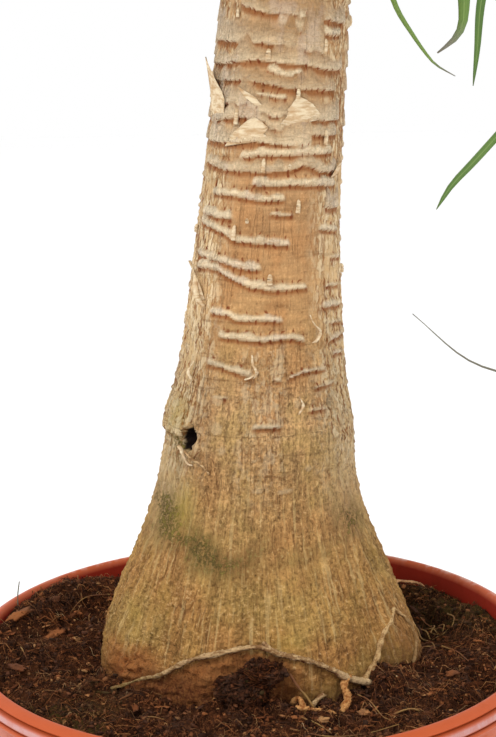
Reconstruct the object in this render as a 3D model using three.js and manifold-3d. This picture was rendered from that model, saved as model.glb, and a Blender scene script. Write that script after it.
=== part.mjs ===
// A potted ponytail palm, Beaucarnea recurvata: one swollen stem with a fountain of strap leaves,
// standing in potting soil in a terracotta-coloured plastic nursery pot.
// Millimetres, +Z up. The origin is on the ground under the middle of the pot, and the front of the plant faces -Y.

import * as THREE from "three";
import { mergeVertices } from "three/addons/utils/BufferGeometryUtils.js";
import Module from "manifold-3d";

// Driving dimensions of the pot.
const POT_HEIGHT = 300;
const POT_RIM_RADIUS = 175;
const POT_BASE_RADIUS = 124;
const POT_WALL = 3;
const POT_SIDES = 52;
const DRAIN_HOLES = 4;
const DRAIN_HOLE_RADIUS = 8;
const DRAIN_CIRCLE_RADIUS = 78;

// Driving dimensions of the soil.
const SOIL_DEPTH_BELOW_RIM = 14;
const SOIL_Z = POT_HEIGHT - SOIL_DEPTH_BELOW_RIM;
const CLEARANCE = 0.35;

// Driving dimensions of the stem. Heights here are counted from the soil.
const STEM_HEIGHT = 794;
const STEM_SIDES = 26;
const STEM_SETBACK = 16;
const BULB_DEPTH = 72;
const FIRST_SCAR = 196;
const SCAR_SPACING = 17;
const SCAR_STEP = 1.5;

// Driving dimensions of the leaves.
const LEAVES = 104;
const LEAF_WIDTH = 14;
const LEAF_STEPS = 40;
const LEAF_STEPS_PER_FACE = 5;
const LOW_LEAF_STEPS_PER_FACE = 4;
const CROWN_HEIGHT = 118;
const GOLDEN_ANGLE = Math.PI * (3 - Math.sqrt(5));

const wasm = await Module();
wasm.setup();

// A seeded row of numbers from 0 to 1, the same on every run.
function randomRow(seed) {
  let state = seed;
  return () => {
    state = (Math.imul(state, 1664525) + 1013904223) >>> 0;
    return state / 4294967296;
  };
}

function mix(a, b, share) {
  return a + (b - a) * share;
}

// 0 below from, 1 above to, and smooth between them.
function ease(from, to, x) {
  const share = Math.min(1, Math.max(0, (x - from) / (to - from)));
  return share * share * (3 - 2 * share);
}

function bump(x, width) {
  return Math.exp(-((x / width) ** 2));
}

// The smooth curve through [x, y] points, at x.
function curveAt(points, x) {
  const last = points.length - 1;
  if (x <= points[0][0]) return points[0][1];
  if (x >= points[last][0]) return points[last][1];
  const slope = (i) => {
    const before = points[Math.max(i - 1, 0)];
    const after = points[Math.min(i + 1, last)];
    return (after[1] - before[1]) / (after[0] - before[0]);
  };
  const i = points.findIndex((p) => p[0] > x) - 1;
  const [x0, y0] = points[i];
  const [x1, y1] = points[i + 1];
  const span = x1 - x0;
  const t = (x - x0) / span;
  const t2 = t * t;
  const t3 = t2 * t;
  return (
    y0 * (2 * t3 - 3 * t2 + 1) +
    slope(i) * span * (t3 - 2 * t2 + t) +
    y1 * (3 * t2 - 2 * t3) +
    slope(i + 1) * span * (t3 - t2)
  );
}

function solidFrom(geometry) {
  const bare = geometry.clone();
  bare.deleteAttribute("normal");
  bare.deleteAttribute("uv");
  const merged = mergeVertices(bare, 1e-3);
  return new wasm.Manifold(
    new wasm.Mesh({
      numProp: 3,
      vertProperties: merged.attributes.position.array,
      triVerts: new Uint32Array(merged.index.array),
    }),
  );
}

function geometryFrom(solid) {
  const mesh = solid.getMesh();
  const geometry = new THREE.BufferGeometry();
  geometry.setAttribute("position", new THREE.BufferAttribute(mesh.vertProperties, 3));
  geometry.setIndex(new THREE.BufferAttribute(mesh.triVerts, 1));
  geometry.computeVertexNormals();
  return geometry;
}

function part(name, geometry, material) {
  const mesh = new THREE.Mesh(geometry, material);
  mesh.name = name;
  return mesh;
}

// A lathed body that stands along +Z, from [radius, height] points that start and end on its axis.
function lathed(outline, sides) {
  const points = outline.map(([radius, height]) => new THREE.Vector2(radius, height));
  return new THREE.LatheGeometry(points, sides).rotateX(Math.PI / 2);
}

// Moves each vertex of a geometry with a function that returns its new place.
function reshaped(geometry, place) {
  const positions = geometry.attributes.position;
  const vertex = new THREE.Vector3();
  for (let i = 0; i < positions.count; i++) {
    vertex.fromBufferAttribute(positions, i);
    const moved = place(vertex);
    positions.setXYZ(i, moved.x, moved.y, moved.z);
  }
  return geometry;
}

// ---- The pot: a thin tapering wall, a rolled rim with a groove and a band under it, and a flat drained floor.

const RIM_HEIGHT = 14;
const WALL_TOP_RADIUS = POT_RIM_RADIUS - 10.5;

// The radius of the inside of the wall at height z.
function insideRadius(z) {
  return mix(POT_BASE_RADIUS, WALL_TOP_RADIUS, z / (POT_HEIGHT - RIM_HEIGHT)) - POT_WALL;
}

function potGeometry() {
  const top = POT_HEIGHT;
  const rim = POT_RIM_RADIUS;
  const outline = [
    [0, 0],
    [POT_BASE_RADIUS - 4, 0],
    [POT_BASE_RADIUS, 4],
    [WALL_TOP_RADIUS, top - RIM_HEIGHT],
    [rim - 1.5, top - RIM_HEIGHT],
    [rim + 0.6, top - 12.6],
    [rim + 0.6, top - 11.2],
    [rim - 0.5, top - 10.2],
    [rim, top - 4.8],
    [rim - 2, top - 4],
    [rim - 1.8, top - 3],
    [rim - 4.5, top - 0.8],
    [rim - 7.5, top],
    [rim - 9.6, top - 0.8],
    [insideRadius(top - 3), top - 3],
    [insideRadius(POT_WALL + 3), POT_WALL + 3],
    [insideRadius(POT_WALL) - 3, POT_WALL],
    [0, POT_WALL],
  ];
  let pot = solidFrom(lathed(outline, POT_SIDES));
  for (let i = 0; i < DRAIN_HOLES; i++) {
    const angle = ((i + 0.5) / DRAIN_HOLES) * 2 * Math.PI;
    const hole = new THREE.CylinderGeometry(DRAIN_HOLE_RADIUS, DRAIN_HOLE_RADIUS, 4 * POT_WALL, 12);
    hole.rotateX(Math.PI / 2);
    hole.translate(DRAIN_CIRCLE_RADIUS * Math.cos(angle), DRAIN_CIRCLE_RADIUS * Math.sin(angle), 0);
    pot = pot.subtract(solidFrom(hole));
  }
  return geometryFrom(pot);
}

// ---- The stem: a swollen base that flares into the soil, under a slender trunk ringed with old leaf scars.

// [height above the soil, radius]
const STEM_OUTLINE = [
  [-BULB_DEPTH, 32],
  [-60, 66],
  [-38, 88],
  [-14, 98],
  [4, 98.5],
  [19, 95.5],
  [40, 87.5],
  [64, 77],
  [83, 68.8],
  [102, 62.4],
  [121, 58.8],
  [147, 57],
  [170, 52.4],
  [196, 48.4],
  [245, 43.8],
  [300, 40.2],
  [395, 36.8],
  [560, 31.5],
  [STEM_HEIGHT, 27],
];

// [height above the soil, how far the middle of the stem lies to the right]
const STEM_LEAN = [
  [0, 2],
  [64, 3.2],
  [134, 5.6],
  [196, 9.4],
  [256, 12.8],
  [315, 18],
  [395, 24.8],
  [560, 37],
  [STEM_HEIGHT, 46],
];

function stemMiddle(height) {
  return new THREE.Vector3(curveAt(STEM_LEAN, height), STEM_SETBACK, SOIL_Z + height);
}

// The angle between two directions round the stem, from -pi to pi.
function turnBetween(a, b) {
  return Math.atan2(Math.sin(a - b), Math.cos(a - b));
}

// The swellings of the base: buttresses that fade out above the flare, and the hollow under the arched front.
function baseSwelling(angle, height) {
  const fade = bump(Math.max(height - 6, 0), 52);
  const lobes =
    2.2 * Math.sin(3 * angle + 0.4) + 1.8 * Math.sin(5 * angle + 2.6) + 1.3 * Math.sin(8 * angle + 4.4);
  const buttress = 6 * bump(turnBetween(angle, -0.42), 0.26) * bump(Math.max(height - 10, 0), 30);
  const hollow = 11 * bump(turnBetween(angle, -1.52), 0.34) * bump(Math.max(height, 0), 17);
  return lobes * fade + buttress - hollow;
}

// The leaf scars: each ring is a step that stands out at its lower edge, tilted a little its own way.
function scarHeight(ring, angle) {
  const tilt = 2.2 * Math.sin(angle + ring * GOLDEN_ANGLE);
  const wave = 0.9 * Math.sin(3 * angle + ring * 1.7);
  return tilt + wave;
}

function stemRows() {
  const rows = [-BULB_DEPTH, -60, -38, -14, 2, 12, 24, 38, 52, 66, 80, 94, 108, 124, 142, 158, 174, 186];
  const plain = rows.map((height) => ({ height, step: 0, ring: null }));
  const rings = Math.floor((STEM_HEIGHT - 8 - FIRST_SCAR) / SCAR_SPACING);
  const scars = [];
  for (let ring = 0; ring < rings; ring++) {
    const height = FIRST_SCAR + ring * SCAR_SPACING;
    scars.push({ height, step: -0.7, ring });
    scars.push({ height: height + 2, step: SCAR_STEP, ring });
  }
  return [...plain, ...scars, { height: STEM_HEIGHT, step: 0, ring: null }];
}

// The stem's bare surface, with its radius grown by some millimetres.
function stemGeometry(grow) {
  const rows = stemRows();
  const geometry = new THREE.CylinderGeometry(1, 1, 1, STEM_SIDES, rows.length - 1).rotateX(Math.PI / 2);
  return reshaped(geometry, (vertex) => {
    const row = rows[Math.round((vertex.z + 0.5) * (rows.length - 1))];
    const share = Math.hypot(vertex.x, vertex.y);
    const angle = Math.atan2(vertex.y, vertex.x);
    const offset = row.ring === null ? 0 : scarHeight(row.ring, angle);
    const radius = curveAt(STEM_OUTLINE, row.height) + baseSwelling(angle, row.height) + row.step + grow;
    const sink = -grow * ease(-10, -55, row.height);
    const middle = stemMiddle(row.height + offset);
    return new THREE.Vector3(
      middle.x + share * radius * Math.cos(angle),
      middle.y + share * radius * Math.sin(angle),
      middle.z + sink,
    );
  });
}

// The knot hole in the left of the flare's neck, where a side shoot has died back.
const KNOT_HEIGHT = 145;
const KNOT_ANGLE = -2.38;

function knotHole() {
  const middle = stemMiddle(KNOT_HEIGHT);
  const reach = curveAt(STEM_OUTLINE, KNOT_HEIGHT) + 1;
  const hole = new THREE.IcosahedronGeometry(1, 1).scale(11, 3.2, 7);
  hole.rotateZ(KNOT_ANGLE);
  hole.translate(
    middle.x + reach * Math.cos(KNOT_ANGLE),
    middle.y + reach * Math.sin(KNOT_ANGLE),
    middle.z,
  );
  return hole;
}

function stemSolid() {
  return solidFrom(stemGeometry(0)).subtract(solidFrom(knotHole()));
}

// ---- The dead root: a dry runner out of the soil at the left that arches over the front of the swollen base.

const ROOT_RADIUS = 2.1;
const ROOT_STANDOFF = 0.9;

// [degrees round the stem, height above the soil, extra distance from the stem]
const ROOT_COURSE = [
  [-148, -3, 9],
  [-141, 3, 3],
  [-134, 9.5, 0],
  [-125, 15.8, 0],
  [-114.2, 27.4, 0],
  [-102.8, 33.8, 0],
  [-88.5, 37.4, 0],
  [-83.4, 33.9, 0],
  [-71.7, 27.9, 0],
  [-64.6, 21.3, 0],
  [-57.3, 13.1, 0],
  [-46, 4.8, 2],
];

function rootCourse() {
  return ROOT_COURSE.map(([degrees, height, extra]) => {
    const angle = THREE.MathUtils.degToRad(degrees);
    const surface = curveAt(STEM_OUTLINE, height) + baseSwelling(angle, height);
    const reach = surface + ROOT_RADIUS + ROOT_STANDOFF + extra;
    return stemMiddle(height).add(new THREE.Vector3(reach * Math.cos(angle), reach * Math.sin(angle), 0));
  });
}

// The root's bare surface, with its radius grown by some millimetres.
function rootGeometry(grow) {
  const section = new THREE.Shape();
  section.absarc(0, 0, ROOT_RADIUS + grow, 0, 2 * Math.PI, false);
  return new THREE.ExtrudeGeometry(section, {
    curveSegments: 3,
    steps: 24,
    bevelEnabled: false,
    extrudePath: new THREE.CatmullRomCurve3(rootCourse(), false, "centripetal"),
  });
}

// ---- The soil: it fills the pot to just under the rim, heaped up at the left and in front of the stem.

function soilRelief(x, y) {
  const waves =
    1.7 * Math.sin(0.047 * x + 1.1) * Math.cos(0.052 * y + 0.4) + 1.2 * Math.sin(0.11 * x - 0.09 * y + 2);
  const heap = 6 * bump(Math.hypot(x + 112, y - 84), 62);
  const clump = 27 * bump(Math.hypot(x, 1.1 * (y + 80)), 20);
  const dip = -3 * bump(Math.hypot(x - 122, y - 60), 60);
  return waves + heap + clump + dip;
}

function soilSolid() {
  const floor = POT_WALL + CLEARANCE;
  const edge = insideRadius(SOIL_Z) - CLEARANCE;
  const outline = [
    [0, floor],
    [insideRadius(POT_WALL) - 3.6, floor],
    [insideRadius(POT_WALL + 3) - CLEARANCE, POT_WALL + 3.4],
    [edge, SOIL_Z],
    [0.93 * edge, SOIL_Z],
    [0.84 * edge, SOIL_Z],
    [0.75 * edge, SOIL_Z],
    [0.66 * edge, SOIL_Z],
    [0.57 * edge, SOIL_Z],
    [0.48 * edge, SOIL_Z],
    [0.3 * edge, SOIL_Z],
    [0, SOIL_Z],
  ];
  const filling = reshaped(lathed(outline, POT_SIDES), (vertex) => {
    const moved = vertex.clone();
    if (vertex.z > SOIL_Z - 1) {
      const radius = Math.hypot(vertex.x, vertex.y);
      const inside = ease(edge, 0.9 * edge, radius);
      moved.z += soilRelief(vertex.x, vertex.y) * mix(0.35, 1, inside) - 2 * (1 - inside);
      const limit = insideRadius(moved.z) - CLEARANCE;
      moved.multiply(new THREE.Vector3(Math.min(1, limit / radius || 1), Math.min(1, limit / radius || 1), 1));
    }
    return moved;
  });
  const stem = solidFrom(stemGeometry(CLEARANCE));
  const root = solidFrom(rootGeometry(CLEARANCE));
  const [buriedEnd] = rootCourse();
  const pocket = new THREE.IcosahedronGeometry(ROOT_RADIUS + 1, 1);
  pocket.translate(buriedEnd.x, buriedEnd.y, buriedEnd.z);
  return solidFrom(filling).subtract(stem).subtract(root).subtract(solidFrom(pocket));
}

// ---- The leaves: a spiral of channelled straps out of a short green heart, each arching over and hanging.

function crownMiddle(height) {
  return stemMiddle(STEM_HEIGHT).add(new THREE.Vector3(0.02 * height, 0, height + CLEARANCE));
}

// [height above the stem's end, radius]
const HEART_OUTLINE = [
  [0, 26],
  [22, 31],
  [60, 26],
  [CROWN_HEIGHT, 9],
];

function heartSolid() {
  const rows = [0, 12, 40, 80, CROWN_HEIGHT];
  const heart = new THREE.CylinderGeometry(1, 1, 1, 12, rows.length - 1).rotateX(Math.PI / 2);
  return solidFrom(
    reshaped(heart, (vertex) => {
      const height = rows[Math.round((vertex.z + 0.5) * (rows.length - 1))];
      const radius = curveAt(HEART_OUTLINE, height);
      return new THREE.Vector3(radius * vertex.x, radius * vertex.y, 0).add(crownMiddle(height));
    }),
  );
}

// Each leaf's own numbers. The first is the lowest and oldest, the last the youngest, upright in the heart.
function leafRule() {
  const random = randomRow(20417);
  const leaves = [];
  for (let i = 0; i < LEAVES; i++) {
    const age = i / (LEAVES - 1);
    const azimuth = i * GOLDEN_ANGLE + 0.25 * (random() - 0.5);
    // Seen from the front, leaves that face or leave the viewer are the shorter ones.
    const sideways = Math.abs(Math.cos(azimuth));
    const height = mix(6, CROWN_HEIGHT - 14, age ** 0.9);
    leaves.push({
      azimuth,
      start: crownMiddle(height).add(
        new THREE.Vector3(Math.cos(azimuth), Math.sin(azimuth), 0).multiplyScalar(
          0.8 * curveAt(HEART_OUTLINE, height),
        ),
      ),
      rise: mix(6, 84, age ** 0.75) + 12 * (random() - 0.5),
      droop: mix(82, 62, age) + 12 * (random() - 0.5),
      length: mix(470, 610, sideways) * mix(0.92, 1.18, Math.sin(Math.PI * age ** 0.8)) * mix(0.9, 1.1, random()),
      bendFrom: mix(0.02, 0.12, age),
      bendTo: mix(0.6, 0.95, age) + 0.1 * (random() - 0.5),
      sway: 0.5 * (random() - 0.5),
      twist: 1.6 * (random() - 0.5),
      width: LEAF_WIDTH * mix(0.8, 1.12, random()),
    });
  }
  return leaves;
}

// The blade's width, as a share of its widest, at a share of its length.
function bladeWidth(share) {
  const base = 1 - 0.35 * bump(share, 0.05);
  const taper = 1 - 0.86 * ease(0.25, 1, share) ** 1.15;
  return base * taper;
}

// Places along a leaf: a point on its midrib, the way it runs, and its cross direction.
function leafPlaces(leaf) {
  const places = [];
  const point = leaf.start.clone();
  const step = leaf.length / LEAF_STEPS;
  for (let i = 0; i <= LEAF_STEPS; i++) {
    const share = i / LEAF_STEPS;
    const bend = ease(leaf.bendFrom, leaf.bendTo, share);
    const slope = THREE.MathUtils.degToRad(leaf.rise - (leaf.rise + leaf.droop) * bend);
    const azimuth = leaf.azimuth + leaf.sway * share * share;
    const along = new THREE.Vector3(
      Math.cos(slope) * Math.cos(azimuth),
      Math.cos(slope) * Math.sin(azimuth),
      Math.sin(slope),
    );
    const across = new THREE.Vector3(-Math.sin(azimuth), Math.cos(azimuth), 0);
    across.applyAxisAngle(along, leaf.twist * share * share);
    places.push({ share, point: point.clone(), along, across });
    point.addScaledVector(along, step);
  }
  return places;
}

// The few long leaves whose ends hang low on the right, each as points on its midrib after the heart.
const LOW_LEAVES = [
  {
    width: 9,
    twist: 0.3,
    points: [[74, 62, 1196], [104, 96, 1080], [94, 104, 860], [90, 94, 740], [93, 90, 681], [114, 90, 650], [133, 90, 635]],
  },
  {
    width: 13,
    twist: 1.1,
    points: [[120, 30, 1230], [186, 62, 1120], [180, 72, 920], [152, 64, 760], [136, 60, 680], [118, 60, 650]],
  },
  {
    width: 14,
    twist: 0.2,
    points: [[135, 4, 1215], [210, -8, 1085], [192, -2, 880], [152, 8, 740], [139, 10, 679], [133, 10, 632]],
  },
  {
    width: 13,
    twist: 0.5,
    points: [[150, -20, 1205], [250, -44, 1060], [262, -40, 840], [214, -22, 690], [155, -10, 613], [110, -10, 563]],
  },
  {
    width: 10,
    twist: -0.4,
    points: [
      [140, 74, 1225],
      [262, 124, 1085],
      [306, 126, 820],
      [296, 110, 580],
      [250, 98, 456],
      [191, 90, 437],
      [145, 90, 451],
      [107, 90, 483],
    ],
  },
];

function lowLeafPlaces(leaf) {
  const start = crownMiddle(30);
  const points = leaf.points.map((p) => new THREE.Vector3(...p));
  const curve = new THREE.CatmullRomCurve3([start, ...points], false, "centripetal");
  curve.arcLengthDivisions = 400;
  const places = [];
  for (let i = 0; i <= LEAF_STEPS; i++) {
    const share = i / LEAF_STEPS;
    const along = curve.getTangentAt(share).normalize();
    const across = new THREE.Vector3(0, 0, 1).cross(curve.getTangentAt(0.3)).normalize();
    across.addScaledVector(along, -across.dot(along)).normalize();
    across.applyAxisAngle(along, leaf.twist * share * share);
    places.push({ share, point: curve.getPointAt(share), along, across });
  }
  return places;
}

// A blade along its places: flat above, with a keel below that is its midrib.
function bladeSolid(places, width, stepsPerFace) {
  const kept = places.filter((_, i) => i % stepsPerFace === 0);
  const faces = kept.length - 1;
  const blade = new THREE.CylinderGeometry(1, 1, 1, 3, faces).rotateX(Math.PI / 2);
  return solidFrom(
    reshaped(blade, (vertex) => {
      const place = kept[Math.round((vertex.z + 0.5) * faces)];
      const half = (width * bladeWidth(place.share)) / 2;
      const keel = Math.max(0.16 * 2 * half, 0.9);
      const below = new THREE.Vector3().crossVectors(place.across, place.along).normalize();
      const isEdge = Math.hypot(vertex.x, vertex.y) > 0.5;
      const corner = isEdge ? Math.round((Math.atan2(vertex.x, -vertex.y) / (2 * Math.PI)) * 3 + 3) % 3 : -1;
      const moved = place.point.clone();
      if (corner === -1) moved.addScaledVector(below, keel / 3);
      if (corner === 0) moved.addScaledVector(below, keel);
      if (corner === 1) moved.addScaledVector(place.across, half);
      if (corner === 2) moved.addScaledVector(place.across, -half);
      return moved;
    }),
  );
}

function crownSolid() {
  const blades = [
    ...leafRule().map((leaf) => bladeSolid(leafPlaces(leaf), leaf.width, LEAF_STEPS_PER_FACE)),
    ...LOW_LEAVES.map((leaf) => bladeSolid(lowLeafPlaces(leaf), leaf.width, LOW_LEAF_STEPS_PER_FACE)),
  ];
  return wasm.Manifold.union([heartSolid(), ...blades]);
}

const materials = {
  pot: new THREE.MeshStandardMaterial({ color: 0xc2603a, roughness: 0.45, metalness: 0 }),
  soil: new THREE.MeshStandardMaterial({ color: 0x3b281b, roughness: 1, metalness: 0 }),
  bark: new THREE.MeshStandardMaterial({ color: 0xb58e5c, roughness: 0.9, metalness: 0 }),
  root: new THREE.MeshStandardMaterial({ color: 0x9a7f5e, roughness: 0.95, metalness: 0 }),
  leaf: new THREE.MeshStandardMaterial({ color: 0x4f7a2c, roughness: 0.5, metalness: 0 }),
};

const palm = new THREE.Group();
palm.add(part("pot", potGeometry(), materials.pot));
palm.add(part("soil", geometryFrom(soilSolid()), materials.soil));
palm.add(part("stem", geometryFrom(stemSolid()), materials.bark));
palm.add(part("dry_root", geometryFrom(solidFrom(rootGeometry(0))), materials.root));
palm.add(part("leaf_crown", geometryFrom(crownSolid()), materials.leaf));

export default palm;
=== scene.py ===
"""A potted ponytail palm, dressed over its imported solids: pot, soil, stem, leaf scars, roots and leaves.

Lengths are millimetres, as in the part's source; `MM` makes them metres where an object is made. Colours are
written as they look on a screen, (red, green, blue) from 0 to 255.
"""

import math

import bmesh
import bpy
from mathutils import Matrix, Vector, noise


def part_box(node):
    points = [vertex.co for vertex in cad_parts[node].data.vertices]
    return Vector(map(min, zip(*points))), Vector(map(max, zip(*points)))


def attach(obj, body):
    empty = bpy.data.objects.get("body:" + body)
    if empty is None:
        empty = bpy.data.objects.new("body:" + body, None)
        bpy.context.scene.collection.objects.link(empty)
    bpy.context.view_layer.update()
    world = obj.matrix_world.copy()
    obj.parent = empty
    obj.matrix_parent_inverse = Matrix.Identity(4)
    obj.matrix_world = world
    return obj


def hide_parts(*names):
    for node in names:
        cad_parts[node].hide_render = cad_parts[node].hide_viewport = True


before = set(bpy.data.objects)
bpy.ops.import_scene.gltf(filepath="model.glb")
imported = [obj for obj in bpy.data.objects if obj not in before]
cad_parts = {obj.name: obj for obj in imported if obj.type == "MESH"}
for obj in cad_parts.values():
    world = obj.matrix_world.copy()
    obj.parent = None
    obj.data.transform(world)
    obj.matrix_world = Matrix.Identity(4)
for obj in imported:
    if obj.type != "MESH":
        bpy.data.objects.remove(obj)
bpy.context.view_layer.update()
MM = 0.001


# ----------------------------------------------------------------------------------------------------------
# The photographer's corner: a pale seamless floor, a big soft light at the front left with a weaker one at
# the right, and a camera at eye level over the pot, tipped down a little and not quite upright.

EYE = Vector((0.0001, -0.9286, 0.6689))
TIPPED_DOWN = math.radians(12.2)
LEANING = math.radians(-0.93)
FOCAL_PIXELS = 1600
PHOTO_HEIGHT = 737
SENSOR_MM = 36.0
FLOOR_RADIUS = 9000.0
FLOOR_DROP = 0.6

camera = bpy.data.objects.new("camera", bpy.data.cameras.new("camera"))
camera.data.sensor_width = SENSOR_MM
camera.data.lens = SENSOR_MM * FOCAL_PIXELS / PHOTO_HEIGHT
camera.data.clip_start = 0.01
camera.matrix_world = (
    Matrix.Translation(EYE)
    @ Matrix.Rotation(math.pi / 2 - TIPPED_DOWN, 4, "X")
    @ Matrix.Rotation(LEANING, 4, "Z")
)
bpy.context.collection.objects.link(camera)
bpy.context.scene.camera = camera


def soft_light(name, place, aim, size, watts):
    lamp = bpy.data.objects.new(name, bpy.data.lights.new(name, "AREA"))
    lamp.data.size = size
    lamp.data.energy = watts
    turn = (Vector(aim) - Vector(place)).to_track_quat("-Z", "Y").to_matrix().to_4x4()
    lamp.matrix_world = Matrix.Translation(place) @ turn
    bpy.context.collection.objects.link(lamp)


soft_light("front_left_softbox", (-1.55, -1.5, 2.9), (0, 0, 0.45), size=0.8, watts=45)
soft_light("right_softbox", (2.2, -1.0, 1.7), (0, 0, 0.5), size=1.4, watts=11)

studio = bpy.data.worlds.new("studio")
studio.use_nodes = True
studio.node_tree.nodes["Background"].inputs["Color"].default_value = (1.0, 1.0, 1.0, 1.0)
studio.node_tree.nodes["Background"].inputs["Strength"].default_value = 1.0
bpy.context.scene.world = studio
bpy.context.scene.view_settings.view_transform = "Standard"


def srgb(red, green, blue):
    """A colour as it looks on a screen, made linear."""
    return tuple(
        share / 12.92 if share <= 0.04045 else ((share + 0.055) / 1.055) ** 2.4
        for share in (red / 255, green / 255, blue / 255)
    )


class Tint:
    """One socket of a finish. Arithmetic on it adds Math nodes, and node() adds any other node."""

    def __init__(self, tree, socket=None):
        self.tree = tree
        self.socket = socket

    def node(self, kind, settings=None, values=None, output=0):
        made = self.tree.nodes.new("ShaderNode" + kind)
        for name, value in (settings or {}).items():
            setattr(made, name, value)
        for name, value in (values or {}).items():
            if isinstance(value, Tint):
                self.tree.links.new(value.socket, made.inputs[name])
            else:
                made.inputs[name].default_value = value
        return Tint(self.tree, made.outputs[output])

    def calc(self, operation, *values):
        return self.node("Math", {"operation": operation}, dict(enumerate(values)))

    def __add__(self, other):
        return self.calc("ADD", self, other)

    __radd__ = __add__

    def __sub__(self, other):
        return self.calc("SUBTRACT", self, other)

    def __rsub__(self, other):
        return self.calc("SUBTRACT", other, self)

    def __mul__(self, other):
        return self.calc("MULTIPLY", self, other)

    __rmul__ = __mul__

    def __abs__(self):
        return self.calc("ABSOLUTE", self)

    def clear(self):
        """This number, held between 0 and 1."""
        return self.node("Math", {"operation": "ADD", "use_clamp": True}, {0: self, 1: 0.0})

    def between(self, low, high):
        """0 at low, 1 at high, smooth between and level beyond."""
        values = {"Value": self, "From Min": low, "From Max": high}
        return self.node("MapRange", {"interpolation_type": "SMOOTHSTEP"}, values)

    def along_line(self, width, soft):
        """1 on the thin line where this noise is at its middle, 0 from width away, and full within soft."""
        return abs(self - 0.5).between(width, soft)

    def tint(self, off, on):
        """Colour off where this is 0 and colour on where it is 1. Either may be a link."""
        ends = [end if isinstance(end, Tint) else (*srgb(*end), 1.0) for end in (off, on)]
        return self.node("Mix", {"data_type": "RGBA"}, {0: self, 6: ends[0], 7: ends[1]}, output=2)

    def under(self, *coats):
        """This colour under coats of others, each a (how thick from 0 to 1, colour) pair."""
        colour = self
        for thick, coat in coats:
            colour = thick.tint(colour, coat)
        return colour

    def ramp(self, *stops):
        """The colour that this number chooses among (place, colour) stops."""
        made = self.tree.nodes.new("ShaderNodeValToRGB")
        elements = made.color_ramp.elements
        while len(elements) < len(stops):
            elements.new(0.5)
        for element, (place, colour) in zip(elements, stops):
            element.position = place
            element.color = (*srgb(*colour), 1.0)
        self.tree.links.new(self.socket, made.inputs["Fac"])
        return Tint(self.tree, made.outputs[0])

    def scaled(self, share):
        """This colour made brighter or darker."""
        return self.node("VectorMath", {"operation": "SCALE"}, {0: self, "Scale": share})

    def named(self, name):
        """A number that the mesh carries at its vertices."""
        return self.node("Attribute", {"attribute_name": name}, output=2)

    def part(self, axis):
        """One number of this vector: 0 for x, 1 for y, 2 for z."""
        return self.node("SeparateXYZ", {}, {"Vector": self}, output=axis)

    def pushed(self, aside, share):
        """This vector pushed aside by another one, times share."""
        values = {0: aside, 1: (share, share, share), 2: self}
        return self.node("VectorMath", {"operation": "MULTIPLY_ADD"}, values)

    def squeezed(self, stretch):
        """This vector squeezed by stretch along each axis."""
        return self.node("Mapping", {}, {"Vector": self, "Scale": stretch})

    def place(self, stretch=(1.0, 1.0, 1.0)):
        """Object coordinates in millimetres, squeezed by stretch."""
        return self.node("TexCoord", output=3).squeezed(tuple(share / MM for share in stretch))

    def skin(self, stretch=(1.0, 1.0, 1.0)):
        """The place on the unrolled skin that the mesh carries, squeezed by stretch."""
        return self.node("Attribute", {"attribute_name": "skin"}, output=1).squeezed(stretch)

    def clouds(self, size, detail, rough, warp=0.0, output=0):
        """Noise from 0 to 1 over this vector, whose grains are about size."""
        values = {"Vector": self, "Scale": 1.0 / size, "Detail": detail, "Roughness": rough, "Distortion": warp}
        return self.node("TexNoise", {}, values, output)

    def grain(self, size, stretch=(1.0, 1.0, 1.0), detail=4.0, rough=0.55, warp=0.0):
        """Noise through the piece's own space, in grains of about size millimetres."""
        return self.place(stretch).clouds(size, detail, rough, warp)

    def skin_grain(self, size, stretch=(1.0, 1.0, 1.0), detail=4.0, rough=0.55, warp=0.0):
        """The same over the unrolled skin."""
        return self.skin(stretch).clouds(size, detail, rough, warp)


def finish(name):
    """A Tint to build a new finish with. It carries the material."""
    start = Tint(None)
    start.material = bpy.data.materials.new(name)
    start.material.use_nodes = True
    start.tree = start.material.node_tree
    return start


def finished(start, colour, rough, relief=None, depth=1.0, strength=1.0, gloss=0.5):
    """The material, with a colour, a roughness and a relief of that depth in millimetres at its shader."""
    links, shader = start.tree.links, start.tree.nodes["Principled BSDF"]
    shader.inputs["Specular IOR Level"].default_value = gloss
    links.new(colour.socket, shader.inputs["Base Color"])
    if isinstance(rough, Tint):
        links.new(rough.socket, shader.inputs["Roughness"])
    else:
        shader.inputs["Roughness"].default_value = rough
    if relief is not None:
        bumped = start.node("Bump", {}, {"Strength": strength, "Distance": depth * MM, "Height": relief})
        links.new(bumped.socket, shader.inputs["Normal"])
    return start.material


def mesh_from(shape, name):
    made = bpy.data.meshes.new(name)
    shape.to_mesh(made)
    shape.free()
    return made


def piece(name, shape, material):
    """A shape in millimetres as a smooth object of the scene, in metres."""
    bmesh.ops.scale(shape, vec=(MM, MM, MM), verts=shape.verts)
    mesh = mesh_from(shape, name)
    mesh.materials.append(material)
    mesh.polygons.foreach_set("use_smooth", [True] * len(mesh.polygons))
    made = bpy.data.objects.new(name, mesh)
    bpy.context.collection.objects.link(made)
    return made


def hang(made, node=None):
    """Puts a piece on the one body, and in the place of the part's node if it has one."""
    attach(made, "root")
    if node:
        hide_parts(node)


floor_shape = bmesh.new()
bmesh.ops.create_circle(floor_shape, cap_ends=True, radius=FLOOR_RADIUS, segments=96)
bmesh.ops.translate(floor_shape, vec=(0, 0, -FLOOR_DROP), verts=floor_shape.verts)
start = finish("pale_floor")
colour = start.grain(900.0, detail=1.0).tint((254, 254, 254), (255, 255, 255))
piece("studio_floor", floor_shape, finished(start, colour, 0.8))


# ----------------------------------------------------------------------------------------------------------
# The pot: injection-moulded polypropylene in terracotta orange. A thin tapering wall with a rolled rim,
# whose sloping top, groove and glossy upright band come out of one mould, and a flat floor with four drain
# holes.

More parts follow.
